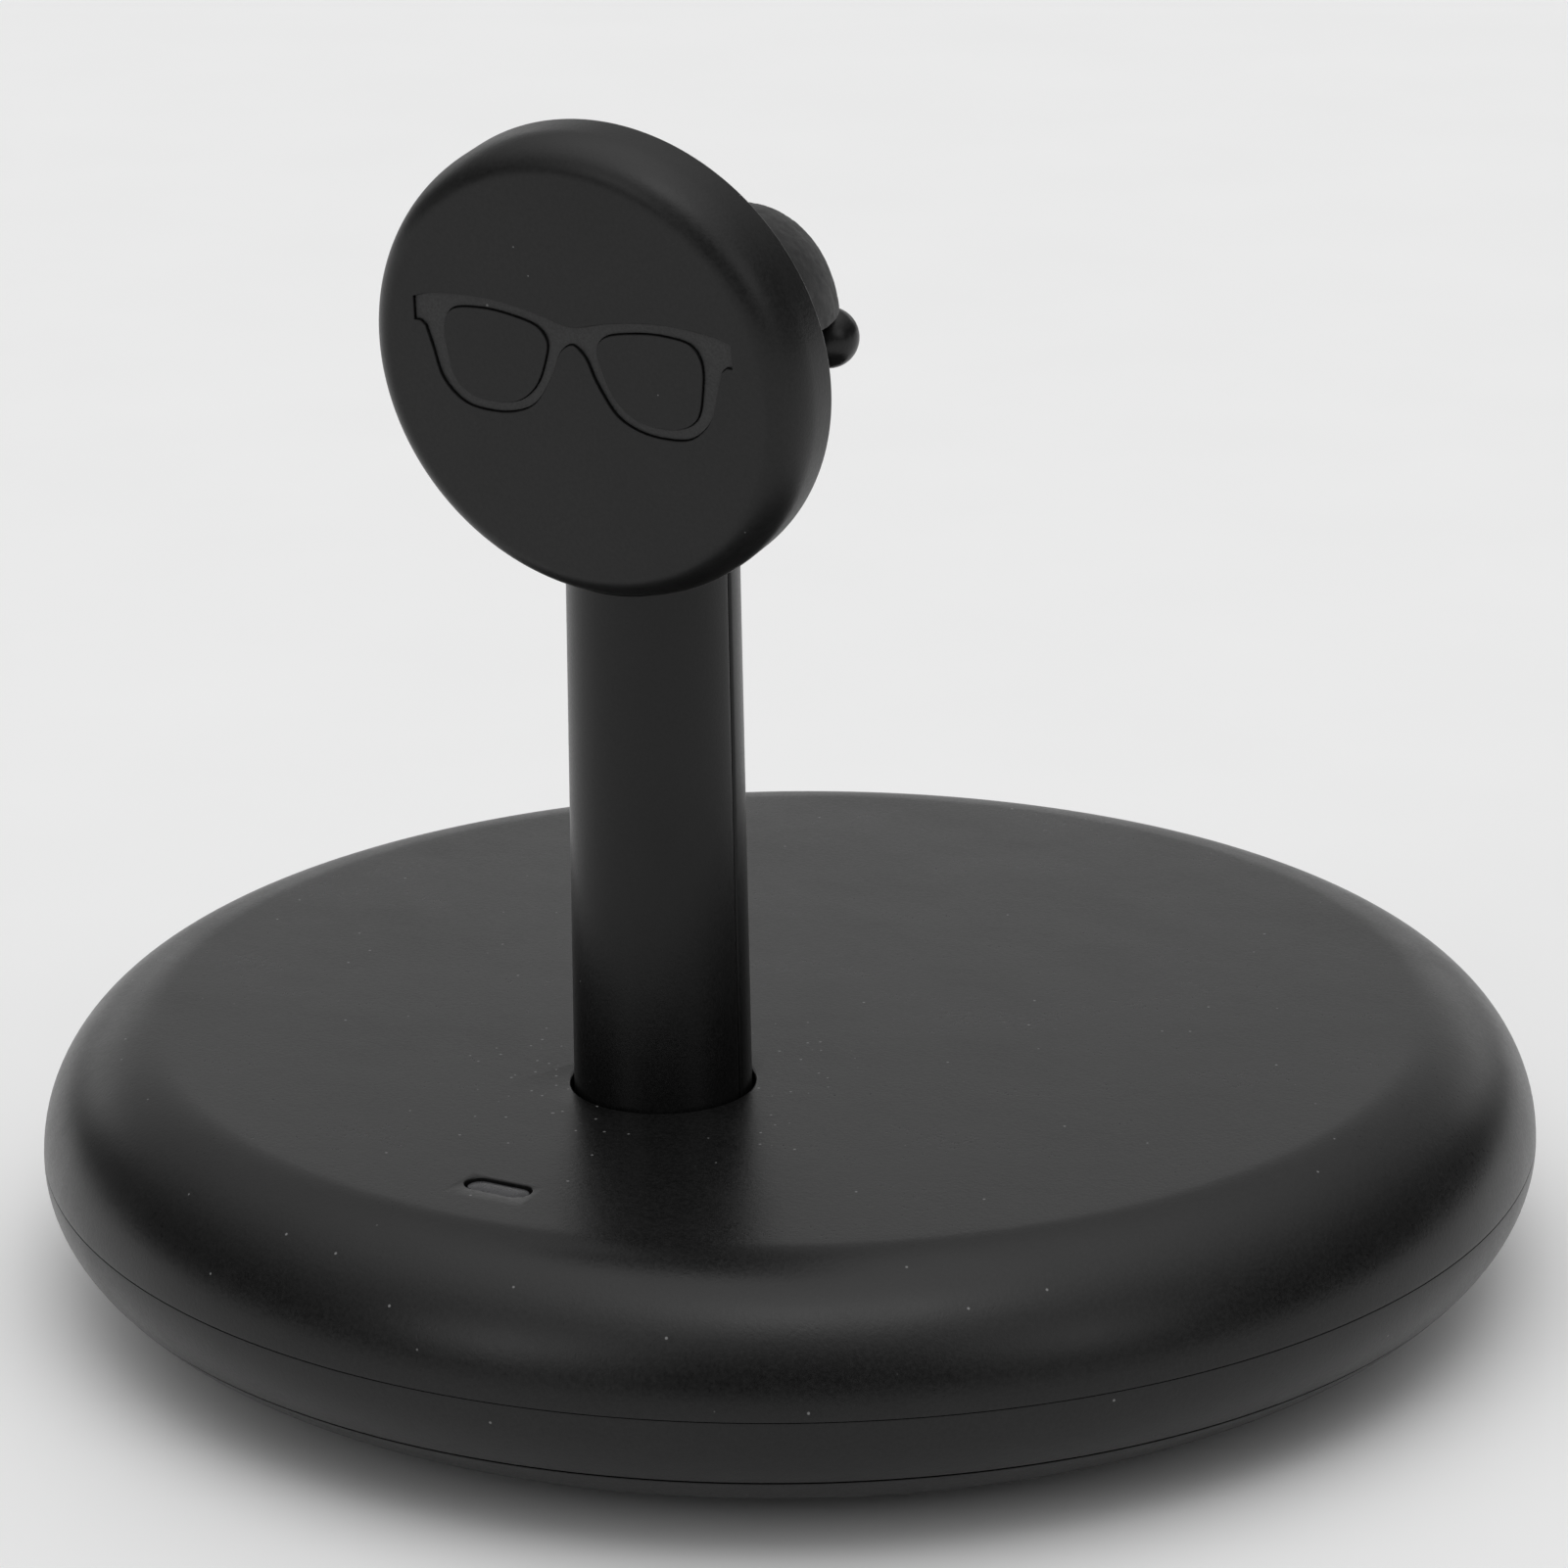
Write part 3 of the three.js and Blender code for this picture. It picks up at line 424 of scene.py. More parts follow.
def grained_plastic(name, dark, pale, gloss, grain, height, dust=(0.6, 0.035), dust_size=0.00011):
    """Black moulded plastic with a spark-eroded texture, faint handling marks and a little dust.

    dust is the share of dusty cells near the column's foot and elsewhere.
    """
    n = Nodes(name)
    fine = n.noise(1000 / grain, 3, 0.65)
    coarse = n.noise(450, 2)
    cloud = n.noise(38, 3, 0.6)
    marks = n.noise(90, 4, 0.7, n.mapped((1, 1.6, 0.7), (0.4, 0.2, 0.6)))
    tone = n.mix(n.span(cloud, 0.3, 0.7), dark, pale)
    grain_tone = n.mix(n.span(fine, 0.35, 0.75), (0.55, 0.55, 0.55), (1.3, 1.3, 1.3))
    blend = n.add("ShaderNodeMix", data_type="RGBA", blend_type="MULTIPLY")
    colours = [s for s in blend.inputs if s.type == "RGBA"]
    blend.inputs["Factor"].default_value = 1
    n.link(tone, colours[0])
    n.link(grain_tone, colours[1])
    tinted = [s for s in blend.outputs if s.type == "RGBA"][0]
    near_foot, elsewhere = dust
    dots = n.specks(1200, dust_size, n.by_distance(FOOT, 0.009, 0.016, near_foot, elsewhere))
    n.link(n.mix(dots, tinted, DUST_TONE), n.shader.inputs["Base Color"])
    low, high = gloss
    worn = n.math("ADD", n.span(marks, 0.3, 0.75, low, high), n.span(fine, 0.3, 0.7, -0.04, 0.04))
    n.link(worn, n.shader.inputs["Roughness"])
    swell = n.bump(coarse, height * 0.35 * MM, 0.6)
    n.link(n.bump(fine, height * MM, 0.8, swell), n.shader.inputs["Normal"])
    n.set(IOR=PLASTIC_IOR)
    return n.material


def rubber(name, tone, rough, grain, height):
    n = Nodes(name)
    fine = n.noise(1000 / grain, 4, 0.7)
    cloud = n.noise(120, 3)
    n.link(n.mix(n.span(cloud, 0.3, 0.7), tone, tuple(v * 1.6 for v in tone)), n.shader.inputs["Base Color"])
    n.link(n.span(fine, 0.3, 0.7, rough - 0.06, rough + 0.06), n.shader.inputs["Roughness"])
    n.link(n.bump(fine, height * MM), n.shader.inputs["Normal"])
    n.set(IOR=1.4)
    return n.material


def wrinkled_pad(name):
    """Soft moulded rubber with the fine creases of a flexed skin."""
    n = Nodes(name)
    creases = n.noise(2600, 4, 0.7, n.mapped((1, 0.32, 0.5), (0.7, 0, 0.3)))
    fine = n.noise(5200, 2)
    cloud = n.noise(260, 2)
    n.link(n.mix(n.span(cloud, 0.3, 0.7), (0.016,) * 3, (0.027,) * 3), n.shader.inputs["Base Color"])
    n.link(n.span(creases, 0.3, 0.7, 0.5, 0.66), n.shader.inputs["Roughness"])
    base = n.bump(creases, 0.045 * MM, 0.8)
    n.link(n.bump(fine, 0.01 * MM, 0.6, base), n.shader.inputs["Normal"])
    n.set(IOR=1.42)
    return n.material


def plated(name, colour, rough, brush):
    n = Nodes(name)
    lines = n.noise(900, 3, 0.6, n.mapped(brush))
    cloud = n.noise(300, 3)
    tone = n.mix(n.span(cloud, 0.3, 0.7), colour, tuple(v * 0.8 for v in colour))
    n.link(tone, n.shader.inputs["Base Color"])
    n.link(n.span(lines, 0.3, 0.7, rough - 0.07, rough + 0.1), n.shader.inputs["Roughness"])
    n.link(n.bump(lines, 0.006 * MM), n.shader.inputs["Normal"])
    n.set(Metallic=1.0)
    return n.material


def smoked_lens(name):
    """A smoked window over the lamp: glossy, with faint moulding swirls."""
    n = Nodes(name)
    swirl = n.noise(700, 3, 0.6)
    tone = n.mix(n.span(swirl, 0.3, 0.7), (0.028, 0.028, 0.03), (0.042, 0.042, 0.045))
    n.link(tone, n.shader.inputs["Base Color"])
    n.link(n.span(swirl, 0.3, 0.7, 0.22, 0.32), n.shader.inputs["Roughness"])
    n.link(n.bump(swirl, 0.008 * MM), n.shader.inputs["Normal"])
    n.set(IOR=1.4)
    return n.material


def circuit_board(name, mask_top):
    """Solder mask with copper runs showing through, and dark epoxy on what stands above it."""
    n = Nodes(name)
    runs = n.add("ShaderNodeTexBrick")
    runs.inputs["Scale"].default_value = 420
    runs.inputs["Mortar Size"].default_value = 0.08
    n.link(n.place, runs.inputs["Vector"])
    runs.inputs["Color1"].default_value = (0.012, 0.1, 0.045, 1)
    runs.inputs["Color2"].default_value = (0.016, 0.12, 0.055, 1)
    runs.inputs["Mortar"].default_value = (0.05, 0.2, 0.08, 1)
    grit = n.noise(2500, 3)
    split = n.add("ShaderNodeSeparateXYZ")
    n.link(n.place, split.inputs["Vector"])
    above = n.span(split.outputs["Z"], (mask_top + 0.05) * MM, (mask_top + 0.12) * MM)
    n.link(n.mix(above, runs.outputs["Color"], (0.022, 0.022, 0.024)), n.shader.inputs["Base Color"])
    n.link(n.span(grit, 0.3, 0.7, 0.3, 0.5), n.shader.inputs["Roughness"])
    n.link(n.bump(grit, 0.01 * MM), n.shader.inputs["Normal"])
    return n.material


shell_black = grained_plastic("shell_black", (0.005,) * 3, (0.008,) * 3, (0.29, 0.36), 0.26, 0.014)
head_black = grained_plastic(
    "head_black", (0.006,) * 3, (0.009,) * 3, (0.36, 0.43), 0.24, 0.016, dust_size=0.00006
)
post_black = grained_plastic(
    "post_black", (0.004,) * 3, (0.007,) * 3, (0.30, 0.37), 0.22, 0.012, dust=(0.1, 0.01), dust_size=0.00007
)
emblem_black = grained_plastic(
    "emblem_black", (0.026,) * 3, (0.032,) * 3, (0.34, 0.40), 0.16, 0.004, dust=(0.03, 0.03)
)
bracket_black = grained_plastic(
    "bracket_black", (0.02,) * 3, (0.03,) * 3, (0.5, 0.6), 0.3, 0.02, dust=(0.01, 0.01)
)
pad_black = wrinkled_pad("pad_black")
foot_black = rubber("foot_black", (0.012,) * 3, 0.82, 0.35, 0.03)
cable_black = rubber("cable_black", (0.016,) * 3, 0.6, 0.3, 0.02)
steel_grey = plated("steel_grey", (0.56, 0.56, 0.57), 0.3, (1, 1, 1))
zinc_grey = plated("zinc_grey", (0.36, 0.36, 0.37), 0.42, (1, 0.1, 1))
inlet_metal = plated("inlet_metal", (0.7, 0.7, 0.72), 0.24, (0.3, 1, 1))
gold = plated("gold", (0.83, 0.62, 0.28), 0.2, (1, 1, 1))
lens_grey = smoked_lens("lens_grey")
lamp_pale = rubber("lamp_pale", (0.5, 0.48, 0.4), 0.4, 0.2, 0.01)
main_green = circuit_board("main_green", 6.3)
lamp_green = circuit_board("lamp_green", 8.8)


# ---- Base ----


def softened(points, steps=4):
    """Profile points where a third value rounds that corner by a radius."""
    made = []
    count = len(points)
    for i, point in enumerate(points):
        if len(point) == 2:
            made.append(point[:2])
            continue
        here = Vector(point[:2])
        before = Vector(points[i - 1][:2]) - here
        after = Vector(points[(i + 1) % count][:2]) - here
        reach = min(point[2], before.length * 0.45, after.length * 0.45)
        start, end = here + before.normalized() * reach, here + after.normalized() * reach
        for k in range(steps + 1):
            t = k / steps
            at = start * (1 - t) ** 2 + here * 2 * t * (1 - t) + end * t * t
            made.append((at.x, at.y))
    return made


def shoulder(z):
    """The base's radius at a height above its widest line."""
    rise = BASE_TOP - WIDEST_Z
    return BASE_R - SHOULDER_RUN + SHOULDER_RUN * math.sqrt(max(0, 1 - ((z - WIDEST_Z) / rise) ** 2))


SEAM_EASE = 0.16
HAIRLINE = 0.05
HAIRLINE_EASE = 0.03
LEVELS_ON_TOP = (4, 10, 17, 24, 31, 36, 39.5, 41)


def base_top():
    edge = UPPER_SEAM_Z + HAIRLINE / 2
    shoulder_c = BASE_R - SHOULDER_RUN
    rise = BASE_TOP - WIDEST_Z
    last = angle_at(edge - WIDEST_Z, rise)
    outer = arc(shoulder_c, WIDEST_Z, SHOULDER_RUN, rise, 90, last, 44)
    first = angle_at(edge - WIDEST_Z, rise - WALL)
    inner = arc(shoulder_c, WIDEST_Z, SHOULDER_RUN - WALL, rise - WALL, first, 90, 12)
    profile = [(0, BASE_TOP), *((r, BASE_TOP) for r in LEVELS_ON_TOP)]
    profile += outer[:-1]
    profile += [(*outer[-1], HAIRLINE_EASE), (*inner[0], 0.1)]
    profile += inner[1:]
    profile += [(0, BASE_TOP - WALL)]
    body = lathe(softened(profile), 256)
    ease = 0.22
    mouth = [(0, 5), (MOUTH_R, 5)]
    mouth += [(MOUTH_R + ease - ease * math.cos(t), BASE_TOP - ease + ease * math.sin(t))
              for t in [math.radians(15 * k) for k in range(7)]]
    mouth += [(MOUTH_R + ease, BASE_TOP + 1), (0, BASE_TOP + 1)]
    slot_ease = 0.1
    levels = [(0, 5), (0, BASE_TOP - slot_ease)]
    levels += [(slot_ease - slot_ease * math.cos(t), BASE_TOP - slot_ease + slot_ease * math.sin(t))
               for t in [math.radians(18 * k) for k in range(1, 6)]]
    levels += [(slot_ease, BASE_TOP + 1)]
    lamp = loft([[(x, y + LAMP_Y, z) for x, y in stadium(LAMP_L, LAMP_W, 14, grow)] for grow, z in levels])
    boss_top = BASE_TOP - WALL + 0.5
    bosses = [rod(SCREW_BOSS_R, SCREW_BOSS_Z, boss_top, x * SCREW_X, y * SCREW_X, 40) for x, y in CORNERS]
    pilots = [rod(1.6, 0, 14, x * SCREW_X, y * SCREW_X, 32) for x, y in CORNERS]
    return cut(join(body, *bosses), *pilots, lathe(mouth, 128, COLUMN_Y), lamp)


def inlet_opening():
    """The opening in the base's edge, flared at its outer mouth."""
    sections = []
    for grow, y in ((0, LIP_R - 3), (0, 48.75), (0.08, 48.95), (0.28, 49.15), (0.7, 50.4)):
        outline = rounded_rect(INLET_W + 0.5 + 2 * grow, INLET_T + 0.3 + 2 * grow, 1.6 + grow, 8)
        sections.append([(x, y, z + INLET_Z) for x, z in outline])
    return loft(sections)


def base_lower():
    top = UPPER_SEAM_Z - HAIRLINE / 2
    bottom = LOWER_SEAM_Z + SEAM_GAP / 2
    drop = WIDEST_Z - UNDERSIDE_Z
    outer = arc(BASE_R - BELLY_RUN, WIDEST_Z, BELLY_RUN, drop, -angle_at(WIDEST_Z - bottom, drop), 0, 22)
    profile = [(*outer[0], SEAM_EASE), *outer[1:], (shoulder(top), top, HAIRLINE_EASE)]
    profile += [(LIP_R + LIP_WALL, top), (LIP_R + LIP_WALL, top + LIP_RISE, 0.2)]
    profile += [(LIP_R, top + LIP_RISE, 0.2), (LIP_R, bottom)]
    return cut(lathe(softened(profile), 256, closed=True), inlet_opening())


def cover():
    rim = LOWER_SEAM_Z - SEAM_GAP / 2
    lip = LIP_R - 0.3
    drop = WIDEST_Z - UNDERSIDE_Z
    groove = FOOT_OUT_R + 0.2
    centre = BASE_R - BELLY_RUN
    start = math.degrees(math.acos((groove - centre) / BELLY_RUN))
    outer = arc(centre, WIDEST_Z, BELLY_RUN, drop, -start, -angle_at(WIDEST_Z - rim, drop), 26)
    floor_z = UNDERSIDE_Z + WALL - 0.15
    inner_start = math.degrees(math.acos((lip - 1.5 - centre) / (BELLY_RUN - WALL)))
    inner = arc(centre, WIDEST_Z, BELLY_RUN - WALL, WIDEST_Z - floor_z, -inner_start, -90, 8)
    profile = [(0, UNDERSIDE_Z), (10, UNDERSIDE_Z), (20, UNDERSIDE_Z), (FOOT_IN_R - 0.2, UNDERSIDE_Z, 0.12)]
    profile += [(FOOT_IN_R - 0.2, FOOT_H + 0.1), (groove, FOOT_H + 0.1), (*outer[0], 0.1)]
    profile += outer[1:-1]
    profile += [(*outer[-1], SEAM_EASE), (lip, rim), (lip, rim + 2, 0.2), (lip - 1.5, rim + 2, 0.2)]
    profile += inner
    profile += [(0, floor_z)]
    body = lathe(softened(profile), 256)
    cups = [rod(4.2, floor_z - 0.5, 5, x * SCREW_X, y * SCREW_X, 48) for x, y in CORNERS]
    pillars = [rod(2.4, floor_z - 0.3, 5.2, s * BOARD_SCREW_X, BOARD_SCREW_Y, 32) for s in SIDES]
    stakes = [rod(1.7, floor_z - 0.3, 7.7, s * STAKE_X, STAKE_Y, 24) for s in SIDES]
    pins = [rod(0.8, 7.3, 9.6, s * STAKE_X, STAKE_Y, 24) for s in SIDES]
    wells = []
    for x, y in CORNERS:
        ease = 0.25
        rim_arc = [(3 + ease - ease * math.sin(t), UNDERSIDE_Z + ease - ease * math.cos(t))
                   for t in [math.radians(18 * k) for k in range(6)]]
        well = lathe([(0, -1), (3 + ease, -1), *rim_arc, (3, 3.2), (0, 3.2)], 64)
        wells.append(moved(well, Matrix.Translation((x * SCREW_X, y * SCREW_X, 0))))
    bores = [rod(1.7, 0, 6, x * SCREW_X, y * SCREW_X, 32) for x, y in CORNERS]
    pilots = [rod(1.1, 3, 6.3, s * BOARD_SCREW_X, BOARD_SCREW_Y, 24) for s in SIDES]
    notch = box((-6.5, lip - 4, 5.1), (6.5, BASE_R, BASE_TOP))
    return cut(join(body, *cups, *pillars, *stakes, *pins), *wells, *bores, *pilots, notch)


def foot():
    """A rubber ring with two shallow grip grooves moulded round its sole."""
    profile = [(FOOT_IN_R, FOOT_H, 0.1), (FOOT_IN_R, 0, 0.3)]
    for groove in (31.5, 33.4):
        profile += [(groove, 0, 0.08), (groove + 0.15, 0.25), (groove + 0.35, 0.25), (groove + 0.5, 0, 0.08)]
    profile += [(FOOT_OUT_R, 0, 0.3), (FOOT_OUT_R, FOOT_H, 0.1)]
    return lathe(softened(profile), 256, closed=True)


piece("base_top_fine", base_top(), "stand", shell_black, ["base_top_shell"])
piece("base_lower_fine", base_lower(), "stand", shell_black, ["base_lower_shell"])
piece("bottom_cover_fine", cover(), "stand", shell_black, ["bottom_cover"])
piece("foot_ring_fine", foot(), "stand", foot_black, ["foot_ring"])


def light_pipe():
    """The lamp's window: a slot-shaped stem with a gently crowned top, on its flange."""
    gap = 0.3
    top = BASE_TOP - 0.16
    width = LAMP_W - gap
    rings = [(0, 10), (0, top - 0.16), (-0.02, top - 0.08)]
    rings += [(-0.08, top - 0.03), (-0.3, top - 0.01), (-0.6, top)]
    stem = loft([
        [(x, y + LAMP_Y, z) for x, y in stadium(LAMP_L - gap, width, 16, grow)] for grow, z in rings
    ])
    flange = loft([
        [(x, y + LAMP_Y, z) for x, y in rounded_rect(LAMP_L + 2.4, LAMP_W + 2, 1, 6)] for z in (15.2, 16.2)
    ])
    return join(stem, flange)


piece("light_pipe_fine", light_pipe(), "stand", lens_grey, ["light_pipe"])


def power_inlet():
    """The inlet's rolled shell, hollowed out for the tongue that sits inside."""
    back = INLET_Y - INLET_L
    wall = 0.3

    def ring(grow, y):
        outline = stadium(INLET_W, INLET_T, 16, grow)
        return [(x, y, z + INLET_Z) for x, z in outline]

    shell = loft([ring(-0.1, back), ring(0, back + 0.1), ring(0, INLET_Y - 0.12),
                  ring(-0.05, INLET_Y - 0.03), ring(-0.12, INLET_Y)])
    hollow = loft([ring(-wall, back + 0.9), ring(-wall, INLET_Y - 0.12), ring(-wall + 0.05, INLET_Y - 0.03),
                   ring(-wall + 0.12, INLET_Y), ring(-wall + 0.12, INLET_Y + 1)])
    return cut(shell, hollow)


def inlet_tongue():
    half_w, half_t = 3.35, 0.35
    low = (-half_w, INLET_Y - INLET_L + 0.95, INLET_Z - half_t)
    return eased(box(low, (half_w, INLET_Y - 1, INLET_Z + half_t)), 0.12)


piece("power_inlet_fine", power_inlet(), "stand", inlet_metal, ["power_inlet"])
piece("inlet_tongue_fine", inlet_tongue(), "stand", bracket_black, [])


def inlet_pads():
    """Two rows of flat contact strips on the tongue."""
    strips = []
    for side in SIDES:
        for k in range(12):
            x = (k - 5.5) * 0.5
            z = INLET_Z + side * 0.355
            strips.append(box((x - 0.13, INLET_Y - 4.6, z - 0.02), (x + 0.13, INLET_Y - 1.3, z + 0.02)))
    joined = bmesh.new()
    for strip in strips:
        joined.from_mesh(strip)
    made = bpy.data.meshes.new("shape")
    joined.to_mesh(made)
    joined.free()
    return made


piece("inlet_pads_fine", inlet_pads(), "stand", gold, [])

# ---- Column ----


def column_radius(z):
    return COLUMN_R - COLUMN_DRAFT * (z - BASE_TOP)


def head_envelope(gap):
    """The head's outer volume, rounded as its face is, grown by a clearance."""
    back = -HEAD_DEPTH - gap
    ease = arc(HEAD_R - FACE_EASE_R, -FACE_EASE_Z, FACE_EASE_R + gap, FACE_EASE_Z + gap, 0, 90, 20)
    return moved(lathe([(0, back), (HEAD_R + gap, back), *ease, (0, gap)], 160), HEAD_FRAME)


def half_shell(side):
    """Half of the column's tube, its outer seam edges rounded, before it is cut."""
    seam = SEAM_GAP / 2
    ease = 0.22

    def section(z):
        r = column_radius(z)
        lean = math.degrees(math.asin((seam + ease) / (r - ease)))
        tip_r = math.sqrt((r - ease) ** 2 - (seam + ease) ** 2)
        outer = [(r * math.cos(a), r * math.sin(a))
                 for a in [math.radians(lean + (180 - 2 * lean) * i / 72) for i in range(73)]]
        first = arc(tip_r, seam + ease, ease, ease, -90, lean, 5)[:-1]
        second = [(-x, y) for x, y in reversed(first)]
        bore_lean = math.degrees(math.asin(seam / COLUMN_BORE_R))
        inner = arc(0, 0, COLUMN_BORE_R, COLUMN_BORE_R, 180 - bore_lean, bore_lean, 36)
        return [(x, COLUMN_Y + side * y, z) for x, y in first + outer + second + inner]

    steps = 24
    rise = COLUMN_TOP_Z - COLUMN_FOOT_Z
    return loft([section(COLUMN_FOOT_Z + rise * k / steps) for k in range(steps + 1)])


def rod_x(r, x0, x1, y, z, sides=32):
    made = rod(r, x0, x1, 0, 0, sides)
    return moved(made, Matrix.Translation((0, y, z)) @ Matrix.Rotation(math.pi / 2, 4, "Y"))


def collar_holes(r):
    holes = []
    for s in SIDES:
        low, high = sorted((s * 3.4, s * (COLLAR_R + 1)))
        holes.append(rod_x(r, low, high, COLLAR_SCREW_Y, COLLAR_SCREW_Z))
    return holes


def column_front():
    return cut(half_shell(-1), head_envelope(HEAD_GAP), *collar_holes(COLLAR_PILOT_R))


def column_rear():
    wire_slot = box((-WIRE_SLOT_W / 2, COLUMN_Y, 0), (WIRE_SLOT_W / 2, COLUMN_Y + 9, WIRE_SLOT_TOP))
    low = (-ARM_W / 2 - ARM_GAP, COLUMN_Y, ARM_TOP_Z - ARM_ROOT_H - ARM_GAP)
    window = box(low, (ARM_W / 2 + ARM_GAP, 0, ARM_TOP_Z + ARM_GAP))
    return cut(half_shell(1), head_envelope(HEAD_GAP), wire_slot, window)


piece("column_front_fine", column_front(), "stand", post_black, ["column_front_shell"])
piece("column_rear_fine", column_rear(), "stand", post_black, ["column_rear_shell"])

# ---- Head ----


# The spectacle front: half of its brow line, rim and lens opening, as (x, y) on the face, all clockwise.
BROW = ((0, 3.6), (2.5, 4.17), (5.9, 4.64), (9.9, 4.42), (11.1, 4.07))
RIM = (
    (10.05, 1.02), (9.4, -1.18), (8, -2.53), (6.1, -2.83),
    (4.3, -2.58), (2.9, -1.83), (1.6, 0.12), (0.8, 1.87),
)
LENS = (
    (1.75, 2.42), (2.3, 3.22), (4.3, 3.77), (6.5, 3.92), (8.4, 3.57), (9, 2.62), (8.95, 0.72),
    (8.45, -1.18), (7.3, -1.98), (5.5, -2.13), (4, -1.78), (2.8, -0.73), (2, 1.02),
)


def smooth_line(points, closed, steps=8):
    """Points along a centripetal-like spline through the given ones."""
    count = len(points)
    pts = [Vector(p) for p in points]
    spans = count if closed else count - 1
    made = []
    for i in range(spans):
        if closed:
            p0, p1, p2, p3 = (pts[(i + k - 1) % count] for k in range(4))
        else:
            p1, p2 = pts[i], pts[i + 1]
            p0 = pts[i - 1] if i else p1 * 2 - p2
            p3 = pts[i + 2] if i + 2 < count else p2 * 2 - p1
        d01, d12, d23 = ((b - a).length ** 0.5 for a, b in ((p0, p1), (p1, p2), (p2, p3)))
        m1 = (p2 - p1) + d12 * ((p1 - p0) / d01 - (p2 - p0) / (d01 + d12))
        m2 = (p2 - p1) + d12 * ((p3 - p2) / d23 - (p3 - p1) / (d12 + d23))
        for k in range(steps):
            t = k / steps
            made.append(
                p1 * (2 * t**3 - 3 * t**2 + 1) + m1 * (t**3 - 2 * t**2 + t)
                + p2 * (3 * t**2 - 2 * t**3) + m2 * (t**3 - t**2)
            )
    if not closed:
        made.append(pts[-1])
    return [(p.x, p.y) for p in made]


def flip(points):
    return [(-x, y) for x, y in reversed(points)]


def emblem_loops():
    """The spectacle front's outline and its two lens openings."""
    tab = (11.15, 2.52)
    notch = ((10.75, 2.52), (10.4, 2.22))
    brow = smooth_line(flip(BROW) + list(BROW[1:]), False)
    rim = smooth_line([notch[1], *RIM, (0, 2.42), *flip(RIM), *flip(notch[1:])], False)
    outline = brow + [tab, notch[0]] + rim + flip([tab, notch[0]])
    lens = smooth_line(LENS, True)
    return outline, lens, flip(lens)


def spread(loop, distance):
    """A clockwise loop with every point moved outwards."""
    made = []
    for i, (x, y) in enumerate(loop):
        before, after = loop[i - 1], loop[(i + 1) % len(loop)]
        along = Vector((after[0] - before[0], after[1] - before[1])).normalized()
        made.append((x - along.y * distance, y + along.x * distance))
    return made


def emblem_solid(levels):
    """The spectacle front through (height, spread) levels."""
    outline, *lenses = emblem_loops()
    body = loft([[(x, y, z) for x, y in spread(outline, grow)] for z, grow in levels])
    holes = []
    for lens in lenses:
        ends = [(levels[0][0] - 1, levels[0][1]), *levels, (levels[-1][0] + 1, levels[-1][1])]
        holes.append(loft([[(x, y, z) for x, y in spread(lens, -grow)] for z, grow in ends]))
    seat = Matrix.Translation((*EMBLEM_AT, 0)) @ Matrix.Rotation(EMBLEM_ROLL, 4, "Z")
    return moved(cut(body, *holes), seat)


def head_cup():
    rim = HEAD_R - CUP_WALL
    profile = [(0, 0), (3, 0), (6, 0), (9, 0), (11.5, 0), (12.6, 0)]
    profile += arc(HEAD_R - FACE_EASE_R, -FACE_EASE_Z, FACE_EASE_R, FACE_EASE_Z, 90, 0, 28)
    profile += arc(HEAD_R - 0.3, -HEAD_DEPTH + 0.3, 0.3, 0.3, 0, -90, 8)
    profile += [(rim, -HEAD_DEPTH, 0.15), (rim, -FACE_EASE_Z), (rim - 1, -FACE_WALL), (0, -FACE_WALL)]
    body = lathe(softened(profile), 224)
    bosses = [rod(2.1, -3.2, -FACE_WALL + 0.4, s * HEAD_SCREW_X, 0, 32) for s in SIDES]
    pilots = [rod(0.95, -4, -1.2, s * HEAD_SCREW_X, 0, 24) for s in SIDES]
    turns = [math.radians(22.5 * k) for k in range(5)]
    ease = POCKET_EASE
    flare = [(-ease + ease * math.sin(t), ease - ease * math.cos(t)) for t in turns]
    pocket = emblem_solid([(-POCKET_DEPTH, 0), *flare, (1, ease)])
    return cut(join(body, *bosses), *pilots, pocket)


def head_plate():
    front = -HEAD_DEPTH + 0.1 + PLATE_T
    back = front - PLATE_T
    disc_r = HEAD_R - CUP_WALL - 0.3
    disc = lathe(softened([(0, front), (disc_r, front), (disc_r, back, 0.3), (0, back)]), 192)
    moved(disc, HEAD_FRAME)
    tube = lathe(softened([
        (COLLAR_BORE_R, COLLAR_Z), (COLLAR_R, COLLAR_Z, 0.5),
        (COLLAR_R, COLLAR_Z + COLLAR_H, 0.5), (COLLAR_BORE_R, COLLAR_Z + COLLAR_H),
    ]), 128, COLUMN_Y, closed=True)
    opening = box((-9, COLUMN_Y + 1.2, 50), (9, 0, 80))
    before_plate = moved(box((-20, -20, front - PLATE_T / 2), (20, 20, front + 20)), HEAD_FRAME)
    collar = cut(tube, opening, before_plate)
    reach = 1.75
    flats = []
    for s in SIDES:
        low, high = sorted((s * COLLAR_FLAT_X, s * 12))
        flats.append(rod_x(reach, low, high, COLLAR_SCREW_Y, COLLAR_SCREW_Z, 40))
    holes = [moved(rod(1.15, -9, 0, s * HEAD_SCREW_X, 0, 32), HEAD_FRAME) for s in SIDES]
    return cut(join(disc, collar), *flats, *holes, *collar_holes(COLLAR_PILOT_R))


piece("head_cup_fine", head_cup(), "stand", head_black, ["head_front_cup"],
      angle=10, place=HEAD_FRAME)
piece("head_plate_fine", head_plate(), "stand", head_black, ["head_rear_plate"])


def emblem():
    """The inlay in the face's pocket, its upper edge slightly rounded."""
    top = -EMBLEM_DROP
    edge = -EMBLEM_GAP
    levels = [(top - EMBLEM_H, edge), (top - 0.03, edge), (top - 0.01, edge - 0.01), (top, edge - 0.03)]
    return emblem_solid(levels)


